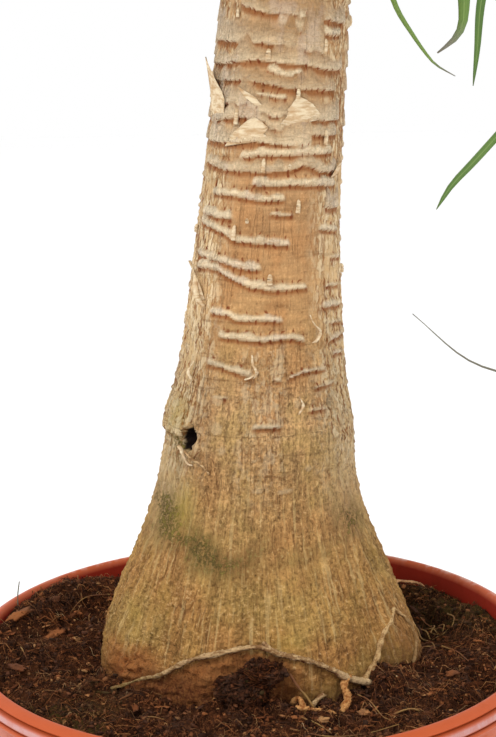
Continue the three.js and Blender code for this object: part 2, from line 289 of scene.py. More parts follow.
pot_low, pot_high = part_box("pot")
POT_HEIGHT = pot_high.z / MM
POT_RIM_RADIUS = 175.0
POT_BASE_RADIUS = 124.0
POT_WALL = 3.0
RIM_HEIGHT = 14.0
RIM_LIFT = 2.9
WALL_TOP_RADIUS = POT_RIM_RADIUS - 10.5
POT_STEPS = 240
DRAIN_HOLES = 4
DRAIN_HOLE_RADIUS = 8.0
DRAIN_CIRCLE_RADIUS = 78.0


def mix(a, b, share):
    return a + (b - a) * share


def ease(start, end, x):
    """0 before start, 1 after end, smooth between them."""
    share = min(1.0, max(0.0, (x - start) / (end - start)))
    return share * share * (3 - 2 * share)


def swell(x, width):
    return math.exp(-((x / width) ** 2))


def noisy(x, y, z):
    """Smooth noise, from about -1 to 1."""
    return noise.noise(Vector((x, y, z)))


def inside_radius(z):
    """The inside of the pot's wall at height z."""
    return mix(POT_BASE_RADIUS, WALL_TOP_RADIUS, z / (POT_HEIGHT - RIM_HEIGHT)) - POT_WALL


def spun(outline, steps):
    """A body turned round Z from (radius, height) points."""
    shape = bmesh.new()
    corners = [shape.verts.new((radius, 0.0, height)) for radius, height in outline]
    edges = [shape.edges.new(pair) for pair in zip(corners, corners[1:])]
    settings = {"cent": (0, 0, 0), "axis": (0, 0, 1), "angle": 2 * math.pi, "steps": steps, "use_merge": True}
    bmesh.ops.spin(shape, geom=corners + edges, **settings)
    bmesh.ops.remove_doubles(shape, verts=shape.verts, dist=1e-5)
    bmesh.ops.recalc_face_normals(shape, faces=shape.faces)
    return shape


top = POT_HEIGHT + RIM_LIFT
rim = POT_RIM_RADIUS

# The rim and its band from the groove at the bottom up and over: (out of the rim's radius, below its top)
RIM_OUTLINE = [
    (-2.2, 13.9), (-0.4, 13.6), (0.3, 12.9), (0.5, 11.9), (0.3, 11.0), (-0.5, 10.5), (-1.3, 10.3), (-0.3, 9.7),
    (0, 8.6), (0, 6.2), (-0.2, 5.2), (-0.9, 4.6), (-2.0, 4.5), (-2.9, 4.1), (-2.3, 3.6), (-2.2, 3.0),
    (-3.2, 1.9), (-4.8, 0.9), (-6.6, 0.2), (-7.7, 0), (-8.8, 0.3), (-9.6, 1.2),
]
pot_outline = [
    (0, 0),
    (40, 0),
    (POT_BASE_RADIUS - 4, 0),
    (POT_BASE_RADIUS - 1.5, 0.8),
    (POT_BASE_RADIUS, 4),
    *[
        (mix(POT_BASE_RADIUS, WALL_TOP_RADIUS, share), mix(4, top - RIM_HEIGHT - 2, share))
        for share in (0.02, 0.25, 0.5, 0.75, 0.97)
    ],
    (WALL_TOP_RADIUS + 0.4, top - RIM_HEIGHT),
    (WALL_TOP_RADIUS + 1.2, top - RIM_HEIGHT + 0.1),
    *[(rim + out, top - below) for out, below in RIM_OUTLINE],
    *[(inside_radius(z), z) for z in (top - 4, top - 18, top - 40, 120, POT_WALL + 3)],
    (inside_radius(POT_WALL) - 3, POT_WALL),
    (40, POT_WALL),
    (0, POT_WALL),
]

drill_shape = bmesh.new()
for hole in range(DRAIN_HOLES):
    angle = (hole + 0.5) / DRAIN_HOLES * 2 * math.pi
    place = Matrix.Translation(Vector((math.cos(angle), math.sin(angle), 0)) * DRAIN_CIRCLE_RADIUS * MM)
    radius = DRAIN_HOLE_RADIUS * MM
    size = {"segments": 40, "radius1": radius, "radius2": radius, "depth": 4 * POT_WALL * MM}
    bmesh.ops.create_cone(drill_shape, cap_ends=True, matrix=place, **size)
drill = bpy.data.objects.new("drill", mesh_from(drill_shape, "drill"))
bpy.context.collection.objects.link(drill)

start = finish("terracotta_plastic")
mottle = start.grain(38.0, detail=3.0)
scuffs = start.grain(7.0, stretch=(1.0, 1.0, 4.0), detail=6.0, rough=0.7).between(0.60, 0.74)
dust = start.grain(16.0, detail=8.0, rough=0.75).between(0.52, 0.72)
inner, glossy_band_and_painted_reflection, painted_groove_shade = start.named("inside"), start.named("glossy_band_and_painted_reflection"), start.named("painted_groove_shade")
streaky = start.grain(9.0, stretch=(1.0, 1.0, 0.4), detail=6.0, rough=0.7).between(0.42, 0.6)
worn = start.named("worn") * streaky
colour = mottle.tint((176, 75, 34), (188, 88, 45)).under(
    # The glossy upright band is also painted lilac-grey: a painted reflection of the bright surroundings.
    (glossy_band_and_painted_reflection * (0.45 + streaky * 0.25), (196, 160, 160)),
    # The inside wall is coloured a darker red than the outside: painted shade inside the pot.
    (inner, mottle.tint((124, 22, 1), (140, 32, 3))),
    (scuffs * (0.2 - inner * 0.15), (214, 148, 122)),
    (worn * 0.6, (214, 184, 172)),
    (dust * (0.1 + inner * 0.2), (74, 38, 22)),
    # Painted shade in the rim's two grooves.
    (painted_groove_shade * 0.75, (118, 40, 16)),
)
shine = 0.36 - glossy_band_and_painted_reflection * 0.14 + mottle * 0.1 + dust * 0.2 + inner * 0.36
relief = start.grain(1.4, detail=2.0) * 0.05 + scuffs * 0.06
pot_finish = finished(start, colour, shine, relief, depth=0.5, strength=0.5, gloss=0.2)

pot = piece("pot_shell", spun(pot_outline, POT_STEPS), pot_finish)
cut = pot.modifiers.new("drain_holes", "BOOLEAN")
cut.operation = "DIFFERENCE"
cut.solver = "EXACT"
cut.object = drill
bpy.context.view_layer.update()
drilled = bpy.data.meshes.new_from_object(pot.evaluated_get(bpy.context.evaluated_depsgraph_get()))
pot.modifiers.clear()
pot.data = drilled
bpy.data.objects.remove(drill)

POT_MARKS = ("inside", "worn", "glossy_band_and_painted_reflection", "painted_groove_shade")
for mark in POT_MARKS:
    pot.data.attributes.new(mark, "FLOAT", "POINT")
for i, vertex in enumerate(pot.data.vertices):
    x, y, z = vertex.co / MM
    radius = math.hypot(x, y)
    outside = ease(rim - 3, rim - 1.5, radius)
    grooves = max(swell(z - (top - 4.1), 0.6), swell(z - (top - 10.3), 0.55))
    values = (
        1.0 if z > POT_WALL + 1 and radius < inside_radius(z) + 0.3 else 0.0,
        ease(top - 4.2, top - 1, z) * ease(0.1, 0.9, y / rim + 0.25 * x / rim) * ease(165, 167, radius),
        outside * ease(top - 9.8, top - 9.0, z) * ease(top - 4.9, top - 5.7, z),
        ease(rim - 6, rim - 3, radius) * grooves,
    )
    for mark, value in zip(POT_MARKS, values):
        pot.data.attributes[mark].data[i].value = value
edge_angle = pot.modifiers.new("shade", "EDGE_SPLIT")
edge_angle.split_angle = math.radians(50)
hang(pot, "pot")


# ----------------------------------------------------------------------------------------------------------
# The stem: one living trunk, swollen at its foot into a corky water store and slender above, where every
# old leaf has left a scar. It carries three lengths of mesh that meet edge to edge, finest where the scars
# are.

SOIL_Z = POT_HEIGHT - 14.0
STEM_HEIGHT = 794.0
STEM_SETBACK = 16.0
STEM_STEPS = 360
GOLDEN_ANGLE = math.pi * (3 - math.sqrt(5))
FRONT = -math.pi / 2

# (height above the soil, radius)
STEM_OUTLINE = [
    (-72, 32), (-60, 66), (-38, 88), (-14, 98), (4, 98.5), (19, 95.5), (40, 87.5), (64, 77), (83, 68.8),
    (102, 62.4), (121, 58.8), (147, 57), (170, 52.4), (196, 48.4), (245, 43.8), (300, 40.2), (395, 36.8),
    (560, 31.5), (STEM_HEIGHT, 27),
]

# (height above the soil, how far the stem's middle lies to the right)
STEM_LEAN = [
    (0, 2), (64, 3.2), (134, 5.6), (196, 9.4), (256, 12.8), (315, 18), (395, 24.8), (560, 37),
    (STEM_HEIGHT, 46),
]


def random_row(seed):
    """A seeded row of numbers from 0 to 1, the same on every run."""
    state = seed
    while True:
        state = (state * 1664525 + 1013904223) % 4294967296
        yield state / 4294967296


def smooth_bend(here, leave, there, arrive, t):
    """The place at share t of the way from here to there, that leaves and arrives at those rates."""
    ends = here * (2 * t**3 - 3 * t**2 + 1) + there * (3 * t**2 - 2 * t**3)
    return ends + leave * (t**3 - 2 * t**2 + t) + arrive * (t**3 - t**2)


def curve_at(points, x):
    """The smooth curve through (x, y) points, at x."""
    last = len(points) - 1
    if x <= points[0][0]:
        return points[0][1]
    if x >= points[last][0]:
        return points[last][1]
    i = next(k for k, point in enumerate(points) if point[0] > x) - 1

    def slope(k):
        before, after = points[max(k - 1, 0)], points[min(k + 1, last)]
        return (after[1] - before[1]) / (after[0] - before[0])

    (x0, y0), (x1, y1) = points[i], points[i + 1]
    span = x1 - x0
    return smooth_bend(y0, slope(i) * span, y1, slope(i + 1) * span, (x - x0) / span)


def stem_middle(h):
    return Vector((curve_at(STEM_LEAN, h), STEM_SETBACK, SOIL_Z + h))


def turn_between(a, b):
    """The angle between two directions round the stem, from -pi to pi."""
    return math.remainder(a - b, 2 * math.pi)


def base_swelling(angle, h):
    """Buttresses that fade out above the flare, and the hollow under the arched front."""
    fade = swell(max(h - 6, 0), 52)
    lobes = 2.2 * math.sin(3 * angle + 0.4) + 1.8 * math.sin(5 * angle + 2.6) + 1.3 * math.sin(8 * angle + 4.4)
    buttress = 6 * swell(turn_between(angle, -0.42), 0.26) * swell(max(h - 10, 0), 30)
    hollow = 11 * swell(turn_between(angle, -1.52), 0.34) * swell(max(h, 0), 17)
    return lobes * fade + buttress - hollow


def stem_radius(angle, h):
    return curve_at(STEM_OUTLINE, h) + base_swelling(angle, h)


# The scars that face the viewer: [(degrees round the stem, height) ...], how tall its papery rest is, how
# whole
FRONT_SCARS = [
    ([(-134, 393), (-108, 388), (-91, 387), (-58, 384), (-21, 381)], 9, 1),
    ([(-98, 380), (-81, 378), (-67, 374), (-55, 371)], 6.5, 1),
    ([(-175, 384), (-154, 380), (-138, 379)], 6, 1),
    ([(-176, 374), (-131, 372), (-106, 371), (-89, 369), (-76, 367), (-50, 364)], 14, 1),
    ([(-81, 385), (-63, 378), (-48, 375), (-30, 375)], 5, 1),
    ([(-176, 360), (-151, 360), (-114, 362), (-88, 360), (-70, 359), (-50, 356), (-24, 356)], 7.5, 1),
    ([(-104, 357), (-89, 353), (-70, 353)], 5, 1),
    ([(-168, 350), (-122, 351), (-103, 349), (-78, 346), (-34, 344)], 7, 1),
    ([(-118, 345), (-102, 342), (-82, 340)], 2.5, 1),
    ([(-165, 335), (-132, 338), (-119, 335), (-97, 331), (-76, 329), (-52, 328), (-25, 327)], 11, 1),
    ([(-165, 327), (-129, 330), (-109, 329), (-96, 324), (-84, 323), (-61, 320), (-28, 319)], 6.5, 1),
    ([(-165, 317), (-131, 316), (-108, 317), (-87, 315), (-58, 313)], 9, 1),
    ([(-122, 307), (-101, 309), (-78, 309), (-34, 309)], 5.2, 1),
    ([(-166, 305), (-134, 301), (-98, 300), (-76, 301), (-64, 303), (-49, 299), (-25, 298)], 6.4, 1),
    ([(-109, 293), (-93, 292), (-72, 292), (-27, 290)], 5.0, 1),
    ([(-148, 287), (-119, 286), (-100, 284), (-78, 284)], 4.6, 1), ([(-44, 278), (-18, 277)], 10, 1),
    ([(-161, 275), (-140, 274), (-120, 273)], 5.0, 1), ([(-93, 276), (-70, 275)], 2.3, 0.8),
    ([(-161, 270), (-129, 265), (-117, 261), (-101, 260), (-72, 258)], 4.8, 1),
    ([(-50, 266), (-19, 263)], 4.2, 0.9), ([(-160, 251), (-124, 248), (-107, 245), (-93, 245)], 5.0, 1),
    ([(-159, 243), (-134, 244), (-119, 240), (-103, 235), (-94, 234), (-87, 233), (-57, 233)], 4.6, 1),
    ([(-47, 221), (-14, 219)], 4.2, 0.9),
    ([(-136, 219), (-116, 218), (-111, 216), (-95, 216), (-76, 215)], 4.2, 1),
    ([(-126, 206), (-110, 205), (-92, 204), (-74, 205), (-59, 202)], 4.4, 1),
    ([(-40, 200), (-8, 202)], 3.6, 0.8), ([(-133, 190), (-117, 188), (-108, 186), (-95, 183)], 4.2, 0.9),
    ([(-85, 182), (-76, 181)], 2.8, 1), ([(-75, 182), (-61, 185), (-41, 185)], 2.4, 0.9),
    ([(-97, 155), (-76, 155)], 3.4, 1), ([(-36, 249), (-12, 247)], 2.4, 0.8),
    ([(-42, 233), (-16, 231)], 2.2, 0.8), ([(-38, 211), (-14, 209)], 2.2, 0.75),
    ([(-36, 192), (-14, 191)], 2.4, 0.8), ([(-56, 175), (-34, 176)], 2.0, 0.7),
    ([(-62, 163), (-44, 162)], 2.0, 0.7), ([(-130, 170), (-110, 171)], 2.6, 0.1),
]


class Scar:
    """The line that one leaf left round the stem, with what stays of its papery base above the line."""

    def __init__(self, line, tall, whole, shade, seen=False):
        self.line = [(math.radians(turn), h) for turn, h in line]
        self.middle = (self.line[0][0] + self.line[-1][0]) / 2
        self.half = (self.line[-1][0] - self.line[0][0]) / 2
        self.height = sum(h for _, h in line) / len(line)
        self.reach = max(abs(h - self.height) for _, h in line)
        self.tall = tall * mix(1.14, 1.0, ease(4.6, 6.5, tall))
        self.whole = whole
        self.shade = shade
        self.seen = seen


UNSEEN_SCARS = 96
FIRST_SCAR = 146.0
SCAR_SPACING = 6.8

row = random_row(9133)
scars = [Scar(line, tall, whole, next(row), seen=True) for line, tall, whole in FRONT_SCARS]
for i in range(UNSEEN_SCARS):
    middle = math.degrees(i * GOLDEN_ANGLE) + 20 * next(row)
    h = FIRST_SCAR + SCAR_SPACING * i + 1.6 * next(row)
    half = mix(72, 112, next(row)) * mix(0.75, 1, ease(160, 260, h))
    slant = 5 * (next(row) - 0.5)
    line = [
        (middle - half, h + 1.5 - slant),
        (middle - 0.5 * half, h - 0.6 * next(row)),
        (middle, h - 1.2 * next(row)),
        (middle + 0.5 * half, h - 0.8 * next(row)),
        (middle + half, h + 1.2 + slant),
    ]
    tall = mix(3.2, 9.5, ease(296, 340, h)) * mix(0.75, 1.2, next(row))
    scars.append(Scar(line, tall, mix(0.55, 1, ease(150, 260, h)), next(row)))
scars.sort(key=lambda scar: -scar.height)
TICKS = 54


def scar_relief(angle, h, near):
    """(relief, paper, rusty gap with painted shadow under the lip, tick, painted shading) of the scars at a
    place on the stem.
    """
    relief, paper, rusty_gap_and_shadow, tick, shade = 0.0, 0.0, 0.0, 0.0, 0.5
    across = 40 * angle
    hidden = ease(1.55, 1.2, abs(turn_between(angle, FRONT))) * ease(400, 394, h)
    for number, scar in near:
        turn = turn_between(angle, scar.middle)
        inside = scar.half - abs(turn)
        shown = 1.0 if scar.seen else 1.0 - hidden
        if inside <= 0 or shown <= 0:
            continue
        wobble = 0.3 * noisy(0.22 * across, 3.1 * number, 0.0) + 0.16 * noisy(0.7 * across, 3.1 * number, 5.0)
        v = h - curve_at(scar.line, scar.middle + turn) - wobble
        if v < -5 or v > 3 * scar.tall + 2:
            continue
        papery = ease(5.6, 7.2, scar.tall)
        end = ease(0, 0.07, inside)
        rag = noisy(0.16 * across, 7.7 * number, 1.0)
        fine = noisy(0.55 * across, 7.7 * number, 9.0)
        peak = max(0.0, noisy(0.055 * across, 5.3 * number, 3.0) - 0.12) * scar.tall * 2.6 * papery
        ragged = mix(1.0, 1.12, papery) + mix(0.2, 0.4, papery) * rag + 0.07 * fine
        torn = (scar.tall * ragged + peak) * (0.4 + 0.6 * end)
        kept = end * shown
        if scar.whole < 0.95:
            gap = noisy(0.09 * across, 2.9 * number, 7.0)
            kept *= ease(0.62 - scar.whole, 0.82 - scar.whole, gap + 0.5)
        soft = mix(0.35, 0.4, papery) * torn * ease(0.45, 0.0, rag) + 0.5
        if 0 <= v <= torn:
            share = v / max(torn, 0.1)
            cover = min(ease(-0.1, 0.5, v), ease(0, soft, torn - v)) * kept
            rounded = math.sin(math.pi * min(1.0, 0.12 + 0.88 * share)) ** 0.8
            sheath = 1.3 * (1 - 0.62 * share) + 0.2 * noisy(0.12 * across, 0.7 * h, number)
            pleat = 0.12 * noisy(0.4 * across, 0.3 * h, 2.0 * number)
            relief = mix(relief, pleat + mix(rounded, sheath, papery) * (0.6 + 0.4 * scar.whole), cover)
            paper = mix(paper, mix(0.6, 1.0, ease(0.6, 1.0, scar.whole)), cover)
            rusty_gap_and_shadow *= 1 - cover
            tick *= 1 - cover
            # Painted shading: a rounded band is lighter in its middle and darker at its top and bottom edges,
            # and a papery layer is light at its lower lip and darker upward where it lies under the next; each
            # scar's own random tone is added.
            band_shade = 0.1 * scar.shade + 0.5 * abs(2 * share - 1)
            layer_shade = 0.16 + 0.24 * scar.shade + 0.6 * share
            shade = mix(shade, mix(band_shade, layer_shade, papery), cover)
        elif v < 0:
            # Under the line: the orange-brown bark of the gap, darkest just under the lip, where it is painted
            # shadow.
            under = ease(mix(-3.2, -4.8, papery), mix(-1.2, -2.0, papery), v) * kept
            relief = mix(relief, -0.5, under * ease(-3, -0.2, v) * kept)
            rusty_gap_and_shadow = max(rusty_gap_and_shadow, under * (0.6 + 0.4 * scar.whole))
            paper *= 1 - under
        if -2.4 < v < 1.4:
            tick = max(tick, ease(-2.4, -1.4, v) * ease(1.4, 0.5, v) * kept)
        over = v - torn
        if -0.9 < over < 1.4:
            tick = max(tick, (1 - papery) * ease(-0.9, -0.2, over) * ease(1.4, 0.7, over) * kept)
    return relief, paper, rusty_gap_and_shadow, tick, shade


KNOT_ANGLE, KNOT_HEIGHT = -2.395, 145.5
SKIN_RADIUS = 60.0
SKIN_FROM = -80
SKIN_STEP = 2
skin_lengths = [0.0]
for step in range(1, 441):
    h = SKIN_FROM + SKIN_STEP * step
    grown = curve_at(STEM_OUTLINE, h) - curve_at(STEM_OUTLINE, h - SKIN_STEP)
    skin_lengths.append(skin_lengths[-1] + math.hypot(SKIN_STEP, grown))


def skin_place(angle, h):
    """Where a place lies on the unrolled skin: fibres run straight in it, and part where the stem swells."""
    reach = (h - SKIN_FROM) / SKIN_STEP
    i = int(reach)
    along = mix(skin_lengths[i], skin_lengths[i + 1], reach - i)
    return Vector((SKIN_RADIUS * math.cos(angle), SKIN_RADIUS * math.sin(angle), along))


# Pale flakes of old skin on the neck: (degrees, height, half its width, half its height)
FLAKES = [
    (-119, 170, 5, 2.5), (-116, 154, 4, 4), (-75, 118, 5, 1.6), (-90, 119, 4, 1.6), (-32, 154, 3, 8),
    (-25, 137, 3, 6), (-128, 168, 3, 3), (-67, 168, 3, 4), (-112, 142, 3, 3), (-60, 130, 4, 2),
]


def bark_relief(angle, h, skin):
    """(relief, cork, crack, flake) of the bark: ribs and cracks along the stem, coarse low down, fine above."""
    cork = ease(240, 150, h)
    low = ease(150, 90, h)
    x, y, s = skin
    flute = noisy(0.085 * x, 0.085 * y, 0.012 * s)
    rib = noisy(0.24 * x, 0.24 * y, 0.03 * s + 4)
    fibre = noisy(0.75 * x, 0.75 * y, 0.09 * s + 5)
    crumb = noisy(0.8 * x + 9, 0.8 * y, 0.6 * s)
    dust = noisy(1.9 * x, 1.9 * y + 3, 1.4 * s)
    fissure = noisy(0.14 * x + 40, 0.14 * y, 0.022 * s) + 0.12 * crumb
    seldom = ease(-0.05, 0.2, noisy(0.05 * x, 0.05 * y + 8, 0.02 * s))
    crack = max(0.0, 1 - abs(fissure) / 0.03) * seldom
    layer = noisy(0.05 * x, 0.05 * y, 0.42 * s)
    relief = cork * (1.1 * flute + 0.9 * rib + 0.7 * fibre + 0.9 * crumb + 0.55 * dust - 0.8 * crack)
    relief += 0.55 * layer * ease(90, 150, h) * ease(320, 260, h)
    relief += (1 - cork) * (0.3 * fibre + 0.25 * crumb + 0.12 * dust - 0.4 * crack)
    relief += low * 1.3 * noisy(0.3 * x + 20, 0.3 * y, 0.16 * s)
    flake = 0.0
    if 110 < h < 185:
        for degrees, middle, half, tall in FLAKES:
            side = math.degrees(turn_between(angle, math.radians(degrees))) / half
            rag = 0.5 * rib + 0.35 * crumb
            flake = max(flake, ease(0, 0.35, 1 - math.hypot(side, (h - middle) / tall) + rag))
    relief += 0.5 * flake
    return relief, cork, crack, flake


# How high the soil once reached under the arched root, as (direction, height)
OLD_SOIL_LINE = [(-2.6, -2), (-2.34, 9), (-2.18, 14), (-2.0, 25), (-1.8, 32), (-1.5, 33), (-1.3, 24)]
SLIT_ANGLE, SLIT_HEIGHT = -0.724, 166.5


def stem_marks(angle, h):
    """Stains, growths and painted shade at one place each: (algae and ledge shade, lichen, stain, crumble, how
    deep a hole).
    """

    def spot(toward, spread, height=0.0, tall=math.inf):
        return swell(turn_between(angle, toward), spread) * swell(h - height, tall)

    radius = curve_at(STEM_OUTLINE, h)
    side = radius * turn_between(angle, KNOT_ANGLE)
    rag = noisy(0.28 * side, 0.22 * h, 11.0)
    above = h - KNOT_HEIGHT
    hole = 1 - math.hypot((side + 0.1 * above) / 7.4, above / 8.8) + 0.45 * rag
    left = ease(3, -4, side) * ease(-62, -40, side)
    edge_h = 146.5 + 0.06 * side + 1.5 * rag
    below_edge = left * ease(edge_h + 0.6, edge_h - 1.2, h)
    ledge = left * 1.3 * ease(edge_h - 0.8, edge_h + 0.8, h) * ease(176, 152, h)
    ledge -= 1.5 * below_edge * ease(122, 140, h)
    slit = 1 - math.hypot(radius * turn_between(angle, SLIT_ANGLE) / 2.6, (h - SLIT_HEIGHT) / 6.0) + 0.3 * rag
    hollow = 10 * ease(0, 0.5, hole) + 7 * ease(0, 0.6, slit) - ledge

    patch = noisy(0.05 * side, 0.06 * h, 21.0) + 0.6 * noisy(0.25 * side, 0.22 * h, 4.0)
    algae_and_ledge_shade = 0.5 * swell(h - 88 - 4 * math.sin(angle), 9) * max(0.0, 0.3 + 1.1 * patch)
    algae_and_ledge_shade += 1.5 * spot(-2.22, 0.32, 80 + 24 * (-1.9 - angle), 10) * (0.8 + patch)
    algae_and_ledge_shade += (0.9 * spot(-2.75, 0.3, 102, 13) + 0.8 * spot(-0.6, 0.2, 97, 10)) * (0.75 + patch)
    # Below the ledge left of the knot: painted shade under the overhang, in the olive of algae.
    algae_and_ledge_shade += 0.75 * below_edge * ease(112, 138, h) * ease(-30, -8, side) * (0.75 + 0.8 * patch)
    lichen = spot(-2.76, 0.3, 156, 10) * (0.7 + 0.9 * patch)
    lichen += 0.9 * spot(-2.34, 0.15, 106, 15) + 0.5 * spot(-1.4, 0.12, 37, 6)
    lichen += 0.3 * ease(0.1, 0.5, patch) * spot(-2.6, 0.6, 50, 30)
    line = curve_at(OLD_SOIL_LINE, angle)
    under_root = ease(line + 1, line - 3, h + 4 * rag) * ease(-2.5, -2.34, angle) * ease(-1.22, -1.44, angle)
    stain = max(
        ease(17, 1, h + 9 * patch) * mix(1.0, 0.5, spot(-2.9, 0.5)),
        under_root * mix(0.25, 0.95, ease(24, 8, h + 7 * patch)),
        0.75 * ease(34, 14, h + 8 * patch) * spot(-0.53, 0.19),
    )
    crumble = max(spot(-2.5, 0.24) * ease(29, 16, h + 5 * patch), 0.75 * under_root)
    return max(0.0, algae_and_ledge_shade), max(0.0, lichen), stain, crumble, hollow


MARKS = (
    "paper", "rusty_gap_and_shadow", "tick", "shade", "cork", "crack", "flake",
    "algae_and_ledge_shade", "lichen", "stain", "crumble", "hollow",
)


def stem_length(low, high, rows):
    """One length of the stem, closed at both ends."""
    shape = spun([(1.0, mix(low, high, i / rows)) for i in range(rows + 1)], STEM_STEPS)
    for mark in MARKS:
        shape.verts.layers.float.new(mark)
    skin_layer = shape.verts.layers.float_vector.new("skin")
    layers = [shape.verts.layers.float[mark] for mark in MARKS]
    rings = {}
    for vertex in shape.verts:
        h = vertex.co.z
        key = round(h, 4)
        if key not in rings:
            near = [
                (number, scar)
                for number, scar in enumerate(scars)
                if -6 - scar.reach < h - scar.height < 3 * scar.tall + scar.reach + 4
            ]
            rings[key] = near, curve_at(STEM_OUTLINE, h), stem_middle(h)
        near, plain, middle = rings[key]
        angle = math.atan2(vertex.co.y, vertex.co.x)
        radius = plain + base_swelling(angle, h)
        skin = skin_place(angle, h)
        relief, cork, crack, flake = bark_relief(angle, h, skin)
        lift, paper, rusty_gap_and_shadow, tick, shade = scar_relief(angle, h, near)
        relief = relief * (1 - 0.6 * paper) + lift
        marks = stem_marks(angle, h) if h < 180 else (0, 0, 0, 0, 0)
        crumble, hollow = marks[-2:]
        relief += crumble * (2.8 * noise.noise(skin * 0.33) + 1.6 * noise.noise(skin * 0.8)) - hollow
        vertex.co = middle + Vector((math.cos(angle), math.sin(angle), 0)) * (radius + relief)
        vertex[skin_layer] = skin
        for layer, value in zip(layers, (paper, rusty_gap_and_shadow, tick, shade, cork, crack, flake, *marks)):
            vertex[layer] = value
    bmesh.ops.holes_fill(shape, edges=[edge for edge in shape.edges if edge.is_boundary], sides=0)
    bmesh.ops.recalc_face_normals(shape, faces=shape.faces)
    return shape


start = finish("corky_bark")
paper, rusty_gap_and_shadow, tick = start.named("paper"), start.named("rusty_gap_and_shadow"), start.named("tick")
shade, cork, crack = start.named("shade"), start.named("cork"), start.named("crack")
crumble = start.named("crumble")
height = start.place().part(2) - SOIL_Z
skin = start.skin()
turn = start.calc("ARCTAN2", skin.part(1), skin.part(0))
aside = abs(turn - FRONT)
flute = start.skin_grain(11.0, (1, 1, 0.12), detail=3.0)
fibre = start.skin_grain(2.4, (1, 1, 0.12), detail=5.0, rough=0.68)
crumbs = start.skin_grain(1.7, (1, 1, 0.8), detail=5.0, rough=0.72)
layers = start.skin_grain(3.4, (0.10, 0.10, 1), rough=0.62)
blotch = start.skin_grain(24.0, (1, 1, 0.7))
lines = start.skin_grain(8.0, (1, 1, 0.12), detail=2.0, rough=0.5).along_line(0.013, 0.003)
lines = lines * blotch.between(0.44, 0.56)
strings = start.skin_grain(2.6, (1, 1, 0.07), detail=3.0, rough=0.6).along_line(0.05, 0.01)
strands = start.skin_grain(2.1, (1, 1, 0.05), detail=3.0)
tufts = start.skin_grain(5.0, detail=6.0, rough=0.7).between(0.34, 0.60)

# Old skin at the neck splits into small upright tiles, most at its flanks.
bent = skin.pushed(skin.clouds(4.0, 2.0, 0.5, output=1), 3.4)
tile_values = {"Vector": bent, "Scale": 1 / 4.6, "Randomness": 0.8}
seams = start.node("TexVoronoi", {"feature": "DISTANCE_TO_EDGE"}, tile_values)
tiled = (aside.between(0.45, 0.95) + aside.between(0.32, 0.2) * height.between(220.0, 190.0) * 0.45).clear()
tiled = tiled * height.between(95.0, 150.0) * blotch.between(0.30, 0.48)
tile = (seams + crumbs * 0.16 - 0.08).between(0.04, 0.2)
patches = start.skin_grain(4.4, (1, 1, 0.7), detail=3.0, rough=0.5)
upright = start.skin_grain(6.5, (1, 1, 0.22), detail=3.0, rough=0.5).along_line(0.03, 0.006)
flank = aside.between(0.5, 1.15) * height.between(70.0, 130.0) * height.between(340.0, 260.0)

# The colours up the stem, at heights in units of 400 mm, and what lies on them.
colour = (height * 0.0025).ramp(
    (0.0, (164, 121, 64)),
    (0.15, (174, 131, 74)),
    (0.28, (188, 146, 92)),
    (0.40, (202, 160, 110)),
    (0.50, (186, 143, 94)),
    (0.66, (178, 136, 92)),
    (0.80, (182, 142, 100)),
)
colour = colour.under(
    (blotch.between(0.45, 0.62) * 0.4, (172, 118, 70)),
    (blotch.between(0.5, 0.36) * cork * 0.45, (166, 138, 78)),
)
bright = 1.04 + (flute - 0.5) * cork * 0.9 + (fibre - 0.5) * (0.6 + cork * 0.8)
bright = bright + (crumbs - 0.5) * (0.9 + cork * 1.5) + (layers - 0.5) * 1.1 * height.between(60.0, 150.0)
colour = colour.scaled(bright).under(
    (flank * 0.62, (230, 199, 150)),
    (tiled * tile * 0.35, (224, 196, 154)),
    (tiled * seams.between(0.06, 0.015) * 0.22, (172, 112, 60)),
    (tiled * patches.between(0.50, 0.56) * 0.8, (234, 210, 170)),
    (tiled * upright * 0.9, (146, 88, 44)),
    (lines * (0.12 + cork * 0.42), (110, 68, 36)),
    (crack.clear() * 0.6, (104, 64, 34)),
    (strings * cork * crumbs.between(0.6, 0.42) * 0.34, (96, 60, 30)),
    (crumbs.between(0.42, 0.30) * cork * 0.5, (92, 58, 28)),
    (strands.between(0.55, 0.68) * height.between(150.0, 95.0) * 0.55, (214, 180, 122)),
    (
        layers.between(0.40, 0.32) * height.between(70.0, 150.0) * (0.25 + height.between(260.0, 200.0) * 0.2),
        (132, 86, 46),
    ),
    (crumbs.between(0.56, 0.68) * (0.25 + cork * 0.35), (224, 190, 138)),
    # Orange-brown gap under each scar, darkened just under the lip by painted shadow.
    ((rusty_gap_and_shadow * (0.5 + fibre * 0.7)).clear(), (152, 96, 54)),
)

# The papery scars, with a row of dark strokes where the leaf's veins broke off.
folds = start.skin_grain(2.8, (0.4, 0.4, 1), detail=5.0, rough=0.65, warp=0.8)
creases = start.skin_grain(5.0, (0.16, 0.16, 1), detail=3.0, rough=0.5, warp=0.6).along_line(0.02, 0.004)
# The cream paper darkens to tan with the painted shading carried in shade.
cream = shade.between(0.0, 0.95).tint((228, 204, 167), (162, 122, 80)).under(
    (blotch.between(0.5, 0.62) * 0.35, (204, 180, 162)),
    (aside.between(0.35, 1.1) * 0.3, (240, 224, 198)),
)
cream = cream.scaled(0.94 + (folds - 0.5) * 1.0 + (crumbs - 0.5) * 1.0).under((creases * 0.28, (184, 138, 90)))
beat = turn * (TICKS / (2 * math.pi)) + start.skin_grain(14.0, detail=2.0) * 3.0
stroke = start.calc("PINGPONG", beat, 0.5).between(0.17, 0.06)
stroke = stroke * start.skin_grain(7.0, detail=1.0).between(0.36, 0.5)

